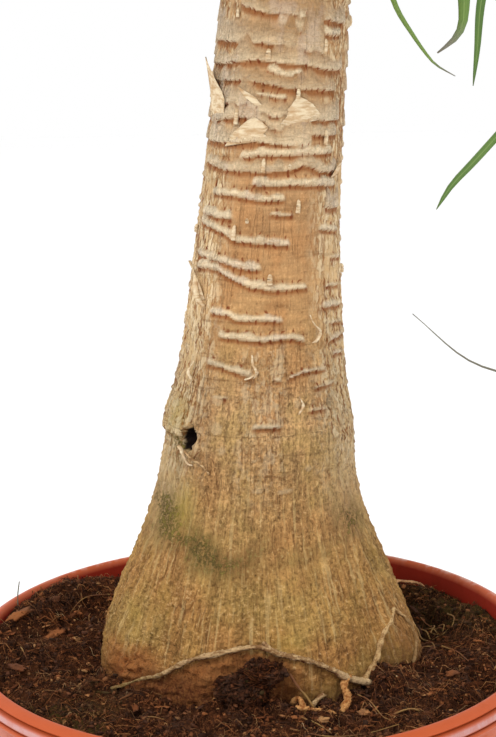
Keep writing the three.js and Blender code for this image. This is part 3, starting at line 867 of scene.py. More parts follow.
algae_and_ledge_shade = (start.named("algae_and_ledge_shade") * (tufts * 0.25 + crumbs.between(0.43, 0.56) * 1.15)).clear()
lichen = (start.named("lichen") * (0.3 + crumbs * 1.1)).clear()
stain = (start.named("stain") * (0.35 + crumbs.between(0.42, 0.58) * 0.75)).clear()
colour = colour.under(
    (paper, cream),
    (start.named("flake") * 0.55, (222, 190, 146)),
    (tick.clear() * stroke, (128, 66, 34)),
    # Algae, with painted shade under the ledge by the knot.
    (algae_and_ledge_shade * 0.9, (76, 66, 34)),
    (algae_and_ledge_shade * crumbs.between(0.54, 0.64) * 0.7, (156, 138, 66)),
    (lichen * 0.65, (166, 146, 60)),
    ((crumble * (0.3 + crumbs * 1.2)).clear(), (158, 88, 42)),
    (crumble * tufts * 0.5, (176, 124, 72)),
    (crumble * crumbs.between(0.5, 0.36) * 0.85, (78, 40, 20)),
    (stain * 0.92, (92, 50, 26)),
    # Near-black deep in the knot hole and the slit: painted shade.
    (start.named("hollow").between(1.7, 4.6), (26, 15, 9)),
)
relief = crumbs * (0.6 + cork * 1.0) + fibre * (0.5 + cork * 0.5 - paper * 0.4) + layers * 0.7
relief = relief + (folds * 0.6 - creases * 0.12) * paper - lines * 0.4 - strings * cork * 0.3
relief = relief + tiled * (seams.between(0.0, 0.12) * 0.2 + patches.between(0.48, 0.56) * 0.5 - upright * 0.5)
bark_finish = finished(start, colour, 0.88, relief, depth=1.3, gloss=0.15)

for name, low, high, rows in (
    ("stem_swollen_base", -16, 150, 132),
    ("stem_scarred_length", 150, 400, 268),
    ("stem_upper_length", 400, STEM_HEIGHT, 244),
):
    hang(piece(name, stem_length(low, high, rows), bark_finish), "stem")


# ----------------------------------------------------------------------------------------------------------
# The soil: peat and coir that has settled a finger below the rim, heaped at the left back and against the
# stem. Its surface is one rough crust, and crumbs, coir fibres and chips of bark lie loose on it.

SOIL_STEPS = 420
SOIL_CLEAR = 0.4


def soil_relief(x, y):
    waves = 1.7 * math.sin(0.047 * x + 1.1) * math.cos(0.052 * y + 0.4)
    waves += 1.2 * math.sin(0.11 * x - 0.09 * y + 2)
    heap = 6 * swell(math.hypot(x + 112, y - 84), 62)
    ragged = 1 + 0.35 * noisy(0.09 * x, 0.09 * y, 5.0)
    clump = 7 * ragged * swell(math.hypot(x - 2, 1.3 * (y + 76)), 26)
    mound = 7 * swell(math.hypot(x - 108, y - 98), 24)
    leaning = 11 * ragged * swell(math.hypot(x - 77, y + 47), 17) + 7 * swell(math.hypot(x - 98, y + 22), 15)
    hollow = -4 * swell(math.hypot(x - 113, 0.7 * (y - 38)), 20)
    return waves + heap + clump + mound + leaning + hollow


def soil_height(x, y):
    """The settled surface, before its crumbs, at a place in the pot."""
    radius = math.hypot(x, y)
    edge = inside_radius(SOIL_Z) - SOIL_CLEAR
    inner = ease(edge, 0.9 * edge, radius)
    bearing = math.atan2(y, x)
    bank = 17 * swell(turn_between(bearing, 2.72), 0.5) * ease(112, 157, radius)
    bank += 9 * swell(turn_between(bearing, 0.3), 0.34) * ease(118, 157, radius)
    return SOIL_Z + soil_relief(x, y) * mix(0.35, 1, inner) - 2 * (1 - inner) + bank


def soil_roughness(x, y):
    lump = noisy(0.055 * x, 0.055 * y, 1.0)
    clod = noisy(0.16 * x, 0.16 * y, 7.0)
    crumb = noisy(0.42 * x, 0.42 * y, 3.0)
    grit = noisy(0.95 * x, 0.95 * y, 2.0)
    return 3.2 * lump + 3.6 * clod + 2.4 * crumb + 1.3 * grit


def crust_height(x, y):
    return soil_height(x, y) + soil_roughness(x, y)


def on_soil(x, y, above=0.0):
    return Vector((x, y, crust_height(x, y) + above))


edge = inside_radius(SOIL_Z) - SOIL_CLEAR
soil_outline = [
    (0, POT_WALL + SOIL_CLEAR),
    (inside_radius(POT_WALL) - 3.6, POT_WALL + SOIL_CLEAR),
    (inside_radius(POT_WALL + 3) - SOIL_CLEAR, POT_WALL + 3.4),
    (inside_radius(150) - SOIL_CLEAR, 150),
    (edge, SOIL_Z),
    *[(mix(edge, 62, i / 78), SOIL_Z) for i in range(1, 79)],
    (30, SOIL_Z - 20),
    (0, SOIL_Z - 20),
]
soil_shape = spun(soil_outline, SOIL_STEPS)
low_layer = soil_shape.verts.layers.float.new("low")
for vertex in soil_shape.verts:
    x, y, z = vertex.co
    if z > SOIL_Z - 1:
        radius = math.hypot(x, y)
        bump = soil_roughness(x, y)
        # low marks the crust's hollows, for painted shade.
        vertex[low_layer] = ease(0.2, -3.6, bump)
        vertex.co.z = soil_height(x, y) + bump * mix(0.5, 1, ease(edge, edge - 3, radius))
        limit = inside_radius(vertex.co.z) - SOIL_CLEAR
        if radius > limit:
            vertex.co.x *= limit / radius
            vertex.co.y *= limit / radius

start = finish("peat_and_coir")
clods = start.grain(9.0, detail=6.0, rough=0.65)
grit = start.grain(1.6, detail=6.0, rough=0.75)
fleck = start.grain(3.4, stretch=(1, 1, 2.5), detail=7.0, rough=0.8)
across, deep = start.place().part(0), start.place().part(1)
mossy = across.between(90.0, 130.0) * deep.between(0.0, 60.0) * clods.between(0.4, 0.6)
mossy = mossy + across.between(-70.0, -90.0) * deep.between(-60.0, -75.0) * clods.between(0.45, 0.6)
# Painted shade on and round the damp clod at the front and in the pit at the right.
clod_reach = across * across + (deep + 78.0) * (deep + 78.0)
pit_reach = (across - 112.0) * (across - 112.0) + (deep - 38.0) * (deep - 38.0) * 0.4
clod_and_pit_shade = (clod_reach.between(420.0, 200.0) + pit_reach.between(800.0, 120.0)).clear()
colour = clods.between(0.35, 0.68).tint((42, 23, 14), (100, 58, 35)).under(
    (grit.between(0.52, 0.66) * 0.9, (150, 96, 60)),
    (fleck.between(0.60, 0.68) * 0.6, (140, 78, 38)),
    (grit.between(0.44, 0.32), (18, 9, 5)),
    # Painted shade in the crust's hollows.
    (start.named("low") * 0.8, (18, 10, 6)),
    (mossy * 0.5, (74, 78, 34)),
    (clod_and_pit_shade * 0.42, (26, 16, 10)),
)
soil_finish = finished(start, colour, 0.95, clods * 1.2 + grit * 1.6 + fleck * 0.8, depth=1.8, gloss=0.06)
hang(piece("soil_crust", soil_shape, soil_finish), "soil")


def copies(template, count, marks):
    """A shape with count copies of a template, the layers of its marks, and each copy's vertices."""
    shape = bmesh.new()
    for mark in marks:
        shape.verts.layers.float.new(mark)
    pattern = mesh_from(template, "template")
    for _ in range(count):
        shape.from_mesh(pattern)
    corners = list(shape.verts)
    size = len(pattern.vertices)
    layers = [shape.verts.layers.float[mark] for mark in marks]
    return shape, layers, [corners[i * size : (i + 1) * size] for i in range(count)]


def ball(cuts):
    shape = bmesh.new()
    bmesh.ops.create_icosphere(shape, subdivisions=cuts, radius=1.0)
    return shape


def soil_spot(row):
    """A free place between the pot's wall and the stem's foot, often on the peat that leans on the stem."""
    while True:
        radius = math.sqrt(mix(70.0**2, (edge - 2.0) ** 2, next(row)))
        angle = 2 * math.pi * next(row)
        x, y = radius * math.cos(angle), radius * math.sin(angle)
        if next(row) < 0.03:
            x, y = mix(60, 112, next(row)), mix(-64, -4, next(row))
        away = math.hypot(x - 2, y - STEM_SETBACK)
        if away > stem_radius(math.atan2(y - STEM_SETBACK, x - 2), 4) - 1.5:
            return x, y


start = finish("loose_soil_bits")
colour = start.named("tone").ramp(
    (0.0, (30, 16, 9)),
    (0.3, (66, 36, 22)),
    (0.55, (116, 66, 38)),
    (0.78, (160, 100, 60)),
    (0.9, (176, 130, 84)),
    (0.97, (206, 178, 138)),
)
colour = colour.under(
    (start.grain(16.0, detail=2.0).between(0.46, 0.58) * 0.45, (84, 62, 50)),
    (start.named("green"), (72, 72, 30)),
    (start.grain(0.9, rough=0.7).between(0.5, 0.3) * 0.5, (32, 20, 13)),
)
loose_finish = finished(start, colour, 0.9, start.grain(0.7, detail=3.0), depth=0.4, strength=0.7, gloss=0.08)


def darkness(x, y):
    """How deep in shade a bit is that lies on the damp clod at the front or in the pit at the right."""
    return max(swell(math.hypot(x, y + 75), 11), 0.7 * swell(math.hypot(x - 112, 0.6 * (y - 38)), 20))


def greenness(x, y, share):
    """How mossy a bit is that lies at the right back or at the left front."""
    back = ease(80, 125, x) * ease(-5, 50, y)
    front = swell(math.hypot(x + 95, y + 62), 22)
    return max(0.0, min(1.0, 1.3 * share - 0.35)) * (0.45 * back + 0.5 * front)


def loose_bits(name, template, count, seed, place_bit):
    """Many copies of one small shape, each with its own place, size and tone."""
    row = random_row(seed)
    shape, (tone_layer, green_layer), bits = copies(template, count, ("tone", "green"))
    for corners in bits:
        x, y = soil_spot(row)
        tone_of_bit = place_bit(corners, x, y, row) * (1 - 0.6 * darkness(x, y))
        green_of_bit = greenness(x, y, next(row))
        for corner in corners:
            corner[tone_layer] = tone_of_bit
            corner[green_layer] = green_of_bit
    hang(piece(name, shape, loose_finish))


def lump(corners, middle, turn, half, rough, fine, shift):
    """Makes a ragged lump of a ball, that reaches half along each axis before its turn."""
    for corner in corners:
        swollen = 1 + rough * noise.noise(corner.co * fine + shift)
        corner.co = middle + turn @ (corner.co * half * swollen)


def tumbled(row):
    return Matrix.Rotation(6.28 * next(row), 3, "Z") @ Matrix.Rotation(3 * next(row), 3, "X")


def crumb_place(corners, x, y, row):
    size = 0.4 + 1.3 * next(row) ** 3 + (1.8 * next(row) if next(row) < 0.012 else 0.0)
    turn = tumbled(row)
    squash = Vector((mix(0.6, 1.7, next(row)), mix(0.5, 1.1, next(row)), mix(0.3, 0.8, next(row))))
    shift = Vector((50 * next(row), 0, 0))
    lump(corners, on_soil(x, y, 0.2 * size), turn, squash * size, 1.1, 2.1, shift)
    return 0.04 + 0.86 * next(row) ** 1.5


loose_bits("soil_crumbs", ball(1), 9000, 411, crumb_place)


def rod(cuts, sides):
    """A straight rod of length 1 along Z, with cuts along it to bend at."""
    shape = bmesh.new()
    bmesh.ops.create_cone(shape, cap_ends=True, segments=sides, radius1=1.0, radius2=1.0, depth=1.0)
    along = [edge for edge in shape.edges if abs(edge.verts[0].co.z - edge.verts[1].co.z) > 0.5]
    bmesh.ops.subdivide_edges(shape, edges=along, cuts=cuts, use_grid_fill=True)
    return shape


def bent_tube(corners, path, radius_at, flat=1.0):
    """Bends a rod's vertices along a path of points, with a radius for each share of its length."""
    last = len(path) - 1
    for corner in corners:
        share = corner.co.z + 0.5
        reach = share * last
        i = min(last - 1, int(reach))
        spot = path[i].lerp(path[i + 1], reach - i)
        ahead = (path[min(last, i + 1)] - path[max(0, i)]).normalized()
        side = ahead.cross(Vector((0, 0, 1)))
        side = side.normalized() if side.length > 0.05 else Vector((1, 0, 0))
        up = side.cross(ahead).normalized()
        corner.co = spot + (side * corner.co.x + up * corner.co.y * flat) * radius_at(share)


def fibre_place(corners, x, y, row):
    long = 3 + 16 * next(row) ** 2.4
    thick = 0.10 + 0.22 * next(row) ** 3
    heading = 2 * math.pi * next(row)
    curl = 2.4 * (next(row) - 0.5)
    lift = 0.8 + 2.6 * next(row) ** 2
    kink = 30 * next(row)
    path = []
    spot = Vector((x, y))
    for step in range(6):
        share = step / 5
        turn = heading + curl * share + 0.9 * noisy(kink, 3 * share, 0)
        away = math.hypot(spot.x - 2, spot.y - STEM_SETBACK)
        if math.hypot(spot.x, spot.y) < edge - 3 and away > 88:
            spot = spot + Vector((math.cos(turn), math.sin(turn))) * long / 5
        lying = on_soil(spot.x, spot.y, 0.3 + lift * math.sin(math.pi * share))
        path.append(lying + Vector((0.01, 0.01, 0.03)) * step)
    bent_tube(corners, path, lambda share: thick * (1 - 0.6 * abs(2 * share - 1) ** 3))
    return 0.12 + 0.78 * next(row) ** 1.4 if next(row) < 0.95 else 0.84 + 0.1 * next(row)


loose_bits("coir_fibres", rod(4, 3), 5400, 977, fibre_place)


def fine_fibre_place(corners, x, y, row):
    heading, climb = 2 * math.pi * next(row), mix(-0.1, 0.9, next(row) ** 1.5)
    long, curl = 1.5 + 4.5 * next(row), 2.6 * (next(row) - 0.5)
    path = [on_soil(x, y, -0.2)]
    for step in range(3):
        turn = heading + curl * step / 3
        path.append(path[-1] + Vector((math.cos(turn), math.sin(turn), climb * (1 - 0.6 * step))) * long / 3)
    bent_tube(corners, path, lambda share: 0.2 * (1 - 0.5 * share))
    return 0.1 + 0.7 * next(row)


loose_bits("fine_peat_fibres", rod(2, 3), 6500, 1979, fine_fibre_place)


def chip_place(corners, x, y, row):
    half = Vector((mix(3, 12, next(row) ** 2.5), mix(1.2, 3.6, next(row)), mix(0.4, 1.2, next(row)))) / 2
    turn = Matrix.Rotation(6.28 * next(row), 3, "Z") @ Matrix.Rotation(0.7 * (next(row) - 0.5), 3, "X")
    turn = turn @ Matrix.Rotation(0.7 * (next(row) - 0.5), 3, "Y")
    lump(corners, on_soil(x, y, 0.6), turn, half, 0.9, 1.8, Vector((70 * next(row), 0, 0)))
    return 0.3 + 0.55 * next(row) ** 1.4


loose_bits("bark_chips", ball(2), 360, 83, chip_place)

CLOD_MIDDLE = Vector((0.5, -79.0, 303))
CLOD_RADII = Vector((19.5, 8, 13.5))


def clod_skin(toward):
    """A place on the damp clod of peat that sticks to the front of the stem and overhangs the soil."""
    rough = 1 + 0.34 * noise.noise(toward * 1.5 + Vector((7, 0, 0))) + 0.24 * noise.noise(toward * 3.7)
    rough += 0.16 * noise.noise(toward * 8) + 0.1 * noise.noise(toward * 17)
    rough *= 1 - 0.55 * ease(0.0, 0.7, toward.x) * ease(0.4, -0.1, toward.z)
    rough *= 1 - 0.4 * ease(0.0, -0.7, toward.x) * ease(0.0, 0.7, toward.z)
    spot = CLOD_MIDDLE + toward * CLOD_RADII * rough
    spot.y -= 3.5 * ease(0.0, 0.8, toward.z)
    return spot


clod_shape = ball(6)
for vertex in clod_shape.verts:
    vertex.co = clod_skin(vertex.co.normalized())
hang(piece("damp_clod", clod_shape, soil_finish))


def toward_viewer(row):
    turn, climb = math.pi * next(row), mix(-0.9, 1.0, next(row))
    level = math.sqrt(1 - climb * climb)
    return Vector((math.cos(turn) * level, -math.sin(turn) * level, climb))


def clod_crumb_place(corners, _x, _y, row):
    size = 0.5 + 1.3 * next(row) ** 2
    turn = tumbled(row)
    shift = Vector((50 * next(row), 0, 0))
    lump(corners, clod_skin(toward_viewer(row)), turn, size, 1.1, 2.1, shift)
    return 0.08 + 0.5 * next(row) ** 2


def clod_fibre_place(corners, _x, _y, row):
    begin = toward_viewer(row)
    drift = Vector((next(row) - 0.5, next(row) - 0.5, next(row) - 0.5)) * 0.9
    path = []
    for share in (0, 0.2, 0.4, 0.6, 0.8, 1):
        off = 0.3 + 3.2 * math.sin(3.1 * share) * next(row)
        path.append(clod_skin((begin + drift * share).normalized()) + begin * off)
    bent_tube(corners, path, lambda share: 0.16)
    return 0.15 + 0.5 * next(row)


loose_bits("clod_crumbs", ball(1), 700, 59, clod_crumb_place)
loose_bits("clod_fibres", rod(4, 3), 420, 61, clod_fibre_place)

# (x, y, length, width, heading in degrees, tone)
KNOWN_CHIPS = [
    (-146.5, 30, 22, 5.5, 60, 0.72), (-125, 29.5, 17, 7, 53, 0.7), (-112, 28, 9, 4, -20, 0.88),
    (-126, 30, 9, 5, 40, 0.72), (-141, -28, 12, 5, -35, 0.86), (-128, 60, 10, 5, 60, 0.45),
    (38, -96, 8, 4, 10, 0.9), (62, -92, 7, 4, -20, 0.84), (118, -40, 9, 4, 30, 0.62),
    (104, -62, 7, 4, 0, 0.6),
]
known = iter(KNOWN_CHIPS)


def known_chip_place(corners, _x, _y, row):
    x, y, long, wide, heading, tone = next(known)
    turn = Matrix.Rotation(math.radians(heading), 3, "Z") @ Matrix.Rotation(0.3, 3, "X")
    middle = on_soil(x, y, 1.4)
    lump(corners, middle, turn, Vector((long / 2, wide / 2, 1.4)), 0.8, 1.9, middle)
    return tone


loose_bits("large_chips", ball(3), len(KNOWN_CHIPS), 7, known_chip_place)


def perlite_place(corners, x, y, row):
    size = mix(0.4, 0.85, next(row))
    middle = on_soil(x, y, 0.8 * size)
    lump(corners, middle, Matrix.Identity(3), size, 0.4, 2, middle)
    return 1.0


loose_bits("perlite_grains", ball(2), 12, 29, perlite_place)


# ----------------------------------------------------------------------------------------------------------
# The dead root: a dry runner as thick as a pencil lead that comes out of the soil at the left, arches over
# the front of the swollen foot and ends broken on the soil. With it come the thin living roots that ride
# down the buttress.

ROOT_RADIUS = 2.1
ROOT_STANDOFF = 0.9

# (degrees round the stem, height above the soil, extra distance from the stem)
ROOT_COURSE = [
    (-148, -3, 9), (-141, 3, 3), (-134, 9.5, 0), (-125, 15.8, 0), (-114.2, 27.4, 0), (-102.8, 33.8, 0),
    (-88.5, 37.4, 0), (-83.4, 33.9, 0), (-71.7, 27.9, 0), (-64.6, 21.3, 0), (-57.3, 13.1, 0), (-46, 4.8, 2),
]


def smooth_path(points, count):
    """count + 1 evenly spaced points on the centripetal Catmull-Rom curve through the given ones."""
    knots = [Vector(point) for point in points]
    knots = [2 * knots[0] - knots[1], *knots, 2 * knots[-1] - knots[-2]]
    dense = []
    for i in range(1, len(knots) - 2):
        before, here, there, after = knots[i - 1 : i + 3]
        spans = [max(1e-4, (b - a).length ** 0.5) for a, b in ((before, here), (here, there), (there, after))]
        onward = (there - here) / spans[1]
        leave = (here - before) / spans[0] - (there - before) / (spans[0] + spans[1]) + onward
        arrive = onward - (after - here) / (spans[1] + spans[2]) + (after - there) / spans[2]
        for step in range(40):
            dense.append(smooth_bend(here, leave * spans[1], there, arrive * spans[1], step / 40))
    dense.append(knots[-2])
    reach = [0.0]
    for a, b in zip(dense, dense[1:]):
        reach.append(reach[-1] + (b - a).length)
    even, i = [], 0
    for step in range(count + 1):
        goal = reach[-1] * step / count
        while i < len(reach) - 2 and reach[i + 1] < goal:
            i += 1
        even.append(dense[i].lerp(dense[i + 1], (goal - reach[i]) / max(1e-9, reach[i + 1] - reach[i])))
    return even


def on_stem(degrees, h, away):
    """A place at that distance from the stem's plain surface."""
    angle = math.radians(degrees)
    reach = stem_radius(angle, h) + away
    return stem_middle(h) + Vector((math.cos(angle), math.sin(angle), 0)) * reach


def stem_path(places, count):
    return smooth_path([on_stem(*place) for place in places], count)


def soil_path(places, count):
    return smooth_path([on_soil(*place) for place in places], count)


def tube_along(path, radius_at, steps, sides, flat=1.0, wrinkle=0.0):
    """A closed tube along a path, wrinkled like dry skin."""
    shape, (under,), (corners,) = copies(rod(steps - 1, sides), 1, ("under",))
    for corner in corners:
        # under marks the underside, where the dead root's finish paints shade.
        corner[under] = max(0.0, -corner.co.y)
    bent_tube(corners, path, radius_at, flat)
    for corner in corners:
        along = noise.noise(corner.co * 0.9) + 0.6 * noise.noise(corner.co * 2.3)
        corner.co += Vector((along, noise.noise(corner.co * 1.3 + Vector((9, 0, 0))), along)) * wrinkle
    return shape


def joined(shapes):
    """Several shapes as one."""
    whole = bmesh.new()
    whole.verts.layers.float.new("under")
    for shape in shapes:
        whole.from_mesh(mesh_from(shape, "part"))
    bmesh.ops.recalc_face_normals(whole, faces=whole.faces)
    return whole


start = finish("dry_root_skin")
peel = start.grain(2.4, stretch=(0.35, 0.35, 1.0), detail=6.0, rough=0.7)
flaked = start.grain(6.0, stretch=(0.5, 1, 1), rough=0.7).between(0.5, 0.58)
under = start.named("under")
along = start.place().part(0)
colour = peel.between(0.38, 0.6).tint((140, 104, 66), (208, 174, 128)).under(
    (along.between(-40.0, -75.0) * 0.65, (124, 102, 54)),
    (start.grain(1.0, detail=5.0, rough=0.75).between(0.47, 0.34), (84, 48, 28)),
    # The underside is painted darker, with more of the dark flaking there: painted shade.
    ((flaked * (under * 0.8 + 0.25)).clear(), (112, 62, 36)),
    (under.between(0.5, 1.0) * 0.5, (92, 54, 32)),
    (along.between(45.0, 62.0) * 0.5, (214, 184, 140)),
)
root_finish = finished(start, colour, 0.88, peel + start.grain(0.8) * 0.8, gloss=0.12)

root_course = [(turn, h, ROOT_RADIUS + ROOT_STANDOFF + more) for turn, h, more in ROOT_COURSE]
row = random_row(611)
knots = [(0.3 + 0.11 * i, 0.35 + 0.6 * next(row)) for i in range(6)]


def root_radius_at(share):
    taper = mix(1.0, 1.65, ease(0.0, 0.55, share)) + 0.75 * ease(0.82, 0.95, share)
    taper -= 1.3 * ease(0.972, 1.0, share)
    taper += 0.26 * math.sin(31 * share) + 0.2 * math.sin(73 * share + 1) + 0.12 * math.sin(139 * share)
    taper += 0.7 * swell(share - 0.33, 0.02)
    return taper + sum(0.6 * size * swell(share - place, 0.01) for place, size in knots)


main_root = tube_along(stem_path(root_course, 120), root_radius_at, 220, 16, flat=0.85, wrinkle=0.75)
side_path = stem_path([(-84.5, 34, 3), (-86, 37.5, 3.6), (-88, 40, 3.4)], 12)
side_root = tube_along(side_path, lambda share: mix(1.5, 0.9, share), 16, 8, wrinkle=0.25)
hang(piece("dead_root", joined([main_root, side_root]), root_finish), "dry_root")

start = finish("old_root_on_bark")
fibre = start.grain(3.0, detail=5.0, rough=0.7).between(0.35, 0.65)
colour = fibre.tint((146, 108, 66), (204, 170, 120)).under(
    (start.grain(0.9, detail=5.0, rough=0.75).between(0.46, 0.3), (84, 54, 30)),
    (start.place().part(0).between(92.0, 95.0) * 0.6, (104, 74, 42)),
)
ridge_finish = finished(start, colour, 0.88, start.grain(1.0, detail=5.0), depth=0.7, gloss=0.15)

# The two that show at the right: places as (degrees, height, distance from the stem), radius at the top and
# at the foot, how much it swells and how often
BUTTRESS_ROOTS = [
    (
        [
            (-24.3, 38, -0.6), (-29, 33.5, 0.0), (-35.2, 28, 0.2), (-38.5, 22, 0.3), (-40.5, 17, 0.5),
            (-44, 12, 0.8), (-49, 7, 1.4),
        ],
        (1.2, 2.0, 0.3, 40),
    ),
    (
        [
            (-24.3, 38, -0.6), (-22, 34, -0.2), (-20, 30, 0), (-19, 24, 0.1), (-20, 18, 0.2), (-23, 12, 0.2),
            (-26, 4, 0.0), (-27, -12, -1.0),
        ],
        (0.9, 1.3, 0.25, 33),
    ),
]


def ridge(course, thin, thick, swelling, often):
    """A root that lies half sunk in the stem's skin."""

    def radius_at(share):
        return mix(thin, thick, share) + swelling * math.sin(often * share)

    return tube_along(stem_path(course, 60), radius_at, 70, 10, wrinkle=0.45)


ridges = joined([ridge(course, *sizes) for course, sizes in BUTTRESS_ROOTS])
hang(piece("buttress_roots", ridges, ridge_finish))


# ----------------------------------------------------------------------------------------------------------
# Small things on the stem and the soil: cream pegs in the scars, where a bud or a root tip has dried,
# slivers and flaps of papery leaf base that peel off, and on the soil broken twigs, thin roots, a curled
# dead leaf and a sprout.

start = finish("papery_leaf_base")
vein = start.grain(1.5, stretch=(0.16, 0.3, 0.8), rough=0.6)
colour = vein.between(0.32, 0.62).tint((186, 152, 112), (226, 206, 172)).under(
    (start.grain(5.0, detail=3.0).between(0.45, 0.65) * 0.5, (190, 150, 106)),
)
paper_finish = finished(start, colour, 0.8, vein, depth=0.6, strength=0.8, gloss=0.25)

# (degrees round the stem, height of its foot, how tall, how wide)
FRONT_PEGS = [
    (-99, 300.5, 7.6, 1.5), (-69, 277, 7.6, 1.5), (-118, 262, 8.5, 1.6), (-88, 237, 6.0, 1.9),
    (-134, 386, 5.2, 1.2), (-52, 365, 8.5, 1.3), (-102, 363, 5.6, 1.8), (-75, 340, 6.4, 1.5),
    (-126, 327, 8.5, 1.6), (-46, 314.5, 8.5, 1.5), (-108, 272, 2.4, 1.2), (-78, 302, 2.6, 1.2),
]


def peg(turn, h, tall, wide):
    """A blunt peg that stands on a scar, pressed against the stem."""
    shares = (0, 0.25, 0.5, 0.75, 1)
    path = [on_stem(turn, h + tall * share, 0.9 + 0.5 * math.sin(3.1 * share)) for share in shares]

    def radius_at(share):
        return wide * math.sqrt(max(0.02, 1 - share**7)) * mix(0.9, 0.72, share)

    return tube_along(path, radius_at, 18, 8, wrinkle=0.15)


row = random_row(377)
pegs = [peg(*place) for place in FRONT_PEGS]
for scar in scars:
    facing_viewer = abs(turn_between(scar.middle, FRONT)) < 1.3 and scar.height < 398
    if not scar.seen and not facing_viewer and next(row) < 0.8:
        foot = scar.line[2][1] + 1.5
        pegs.append(peg(math.degrees(scar.middle), foot, mix(4, 8, next(row)), mix(1.1, 1.8, next(row))))


def flap(foot, tip, wide, out, curl, turns=0.0, round_at=0.0):
    """A pointed sliver of paper, held to the stem at its foot, off it at its tip, and broadest at round_at."""
    shape = bmesh.new()
    bmesh.ops.create_grid(shape, x_segments=8, y_segments=20, size=1.0)
    for vertex in shape.verts:
        across, share = vertex.co.x, (vertex.co.y + 1) / 2
        turn = mix(foot[0], tip[0], share)
        h = mix(foot[1], tip[1], share)
        waist = 0.45 + 0.55 * ease(0, max(round_at, 0.01), share)
        half = wide * (1 - share**1.6) ** 0.8 * mix(1.0, waist, ease(0, 0.05, round_at)) + 0.2
        away = mix(0.5, 1.1, ease(0, 0.2, share)) + out * share**1.9 + curl * across * across * share
        ragged = 0.3 * noisy(foot[0], 3.1 * share, 0.8 * across) + 0.12 * noisy(foot[0], 9 * share, 2 * across)
        half *= 1 + ragged
        side = math.degrees(half * across * math.cos(turns * share) / 42)
        away += half * across * math.sin(turns * share)
        vertex.co = on_stem(turn + side, h + 0.15 * across * half, away)
    bmesh.ops.solidify(shape, geom=shape.faces[:], thickness=0.35)
    bmesh.ops.recalc_face_normals(shape, faces=shape.faces)
    return shape


flaps = [
    flap((-146, 329), (-170, 364), 10.5, 5.0, 0.6, 0.1, 0.25),
    flap((-104, 336.5), (-126, 348), 2.9, 1.0, 0.4, 0.0, 0.5),
    flap((-142, 226), (-156, 248), 2.4, 4.0, 1.5, 0.7, 0.3),
    flap((-67, 327.5), (-75, 342), 12, 0.6, 0.3),
    flap((-118, 316.5), (-110, 331), 13.5, 0.6, 0.3),
    flap((-30, 296), (-26, 304), 4.0, 1.8, 0.5),
]
row = random_row(1289)
for i in range(60):
    h = mix(250, 780, next(row))
    turn = 360 * next(row)
    if abs(turn_between(math.radians(turn), FRONT)) < 2.1 and h < 400:
        continue
    tip = (turn + 24 * (next(row) - 0.5), h + mix(7, 20, next(row)))
    flaps.append(flap((turn, h), tip, mix(2.5, 7, next(row)), mix(0.8, 3.2, next(row)), 0.8, 0.4 * next(row)))

# (places as degrees, height and distance from the stem; how thick at the thin end and at the thick end)
SLIVERS = [
    ([(-57, 218, 1.0), (-55, 213, 2.6), (-50, 208, 3.0), (-53, 203, 2.2), (-56, 202, 1.4)], 0.5, 1.5),
    ([(-98, 197, 0.8), (-97, 192, 2.4), (-94, 187, 2.8), (-96, 184, 2.0)], 0.5, 1.4),
    ([(-94, 187, 2.0), (-99, 184, 2.4), (-102, 183, 1.0)], 0.9, 1.3),
    ([(-157, 248, 1.5), (-152, 238, 2.6), (-146, 229, 3.4), (-139, 223, 2.4)], 0.6, 1.9),
    ([(-149, 224, 0.8), (-143, 226, 2.6), (-138, 222, 1.4)], 0.9, 1.4),
    ([(-144, 190, 1.0), (-145, 184, 3.0), (-141, 179, 1.6)], 0.5, 1.2),
    ([(-66, 172, 0.6), (-64, 167, 1.8), (-67, 162, 1.2)], 0.5, 1.1),
    (
        [
            (-130.6, 131.1, 1.4), (-133.1, 131.9, 2.4), (-136.3, 136.1, 3.0),
            (-139, 140.4, 3.4), (-143, 140.8, 2.2),
        ],
        0.8,
        1.5,
    ),
]


def sliver(places, thin, thick):
    """A flat shred that narrows to a thin end and is torn off blunt at the other."""

    def radius_at(share):
        return mix(thin, thick, ease(0, 0.8, share)) * (1 - 0.7 * ease(0.88, 1, share))

    return tube_along(stem_path(places, 24), radius_at, 28, 8, flat=0.45, wrinkle=0.2)


slivers = [sliver(*shred) for shred in SLIVERS]
hang(piece("papery_scraps", joined(pegs + flaps + slivers), paper_finish))

leaning_twig = tube_along(
    soil_path([(33, -79, 1.0), (39, -73, 2.2), (45, -67, 4), (50, -62, 6)], 24),
    lambda share: mix(1.5, 1.1, share) + 0.2 * math.sin(22 * share),
    40,
    10,
    wrinkle=0.3,
)
knot_twig = tube_along(
    stem_path([(-137.4, 138.3, 1.5), (-131.4, 135.8, 2.6), (-123.3, 132.3, 2.2), (-119, 127.5, 0.8)], 30),
    lambda share: mix(1.0, 0.6, share),
    40,
    6,
    wrinkle=0.12,
)
knot_path = stem_path([(-126, 141, 0.6), (-128, 138, 2.2), (-131, 134, 1.0)], 30)
knot_stub = tube_along(knot_path, lambda share: 0.6, 30, 6, wrinkle=0.12)
hang(piece("twig_stubs", joined([leaning_twig, knot_twig, knot_stub]), root_finish))

start = finish("broken_orange_twig")
fibre = start.grain(3.0, detail=6.0, rough=0.7).between(0.36, 0.62)
colour = fibre.tint((150, 92, 48), (214, 158, 98)).under(
    (start.grain(1.0, detail=5.0, rough=0.75).between(0.44, 0.3), (92, 50, 26)),
)
broken_finish = finished(start, colour, 0.9, start.grain(1.2, detail=5.0), depth=0.8, gloss=0.1)

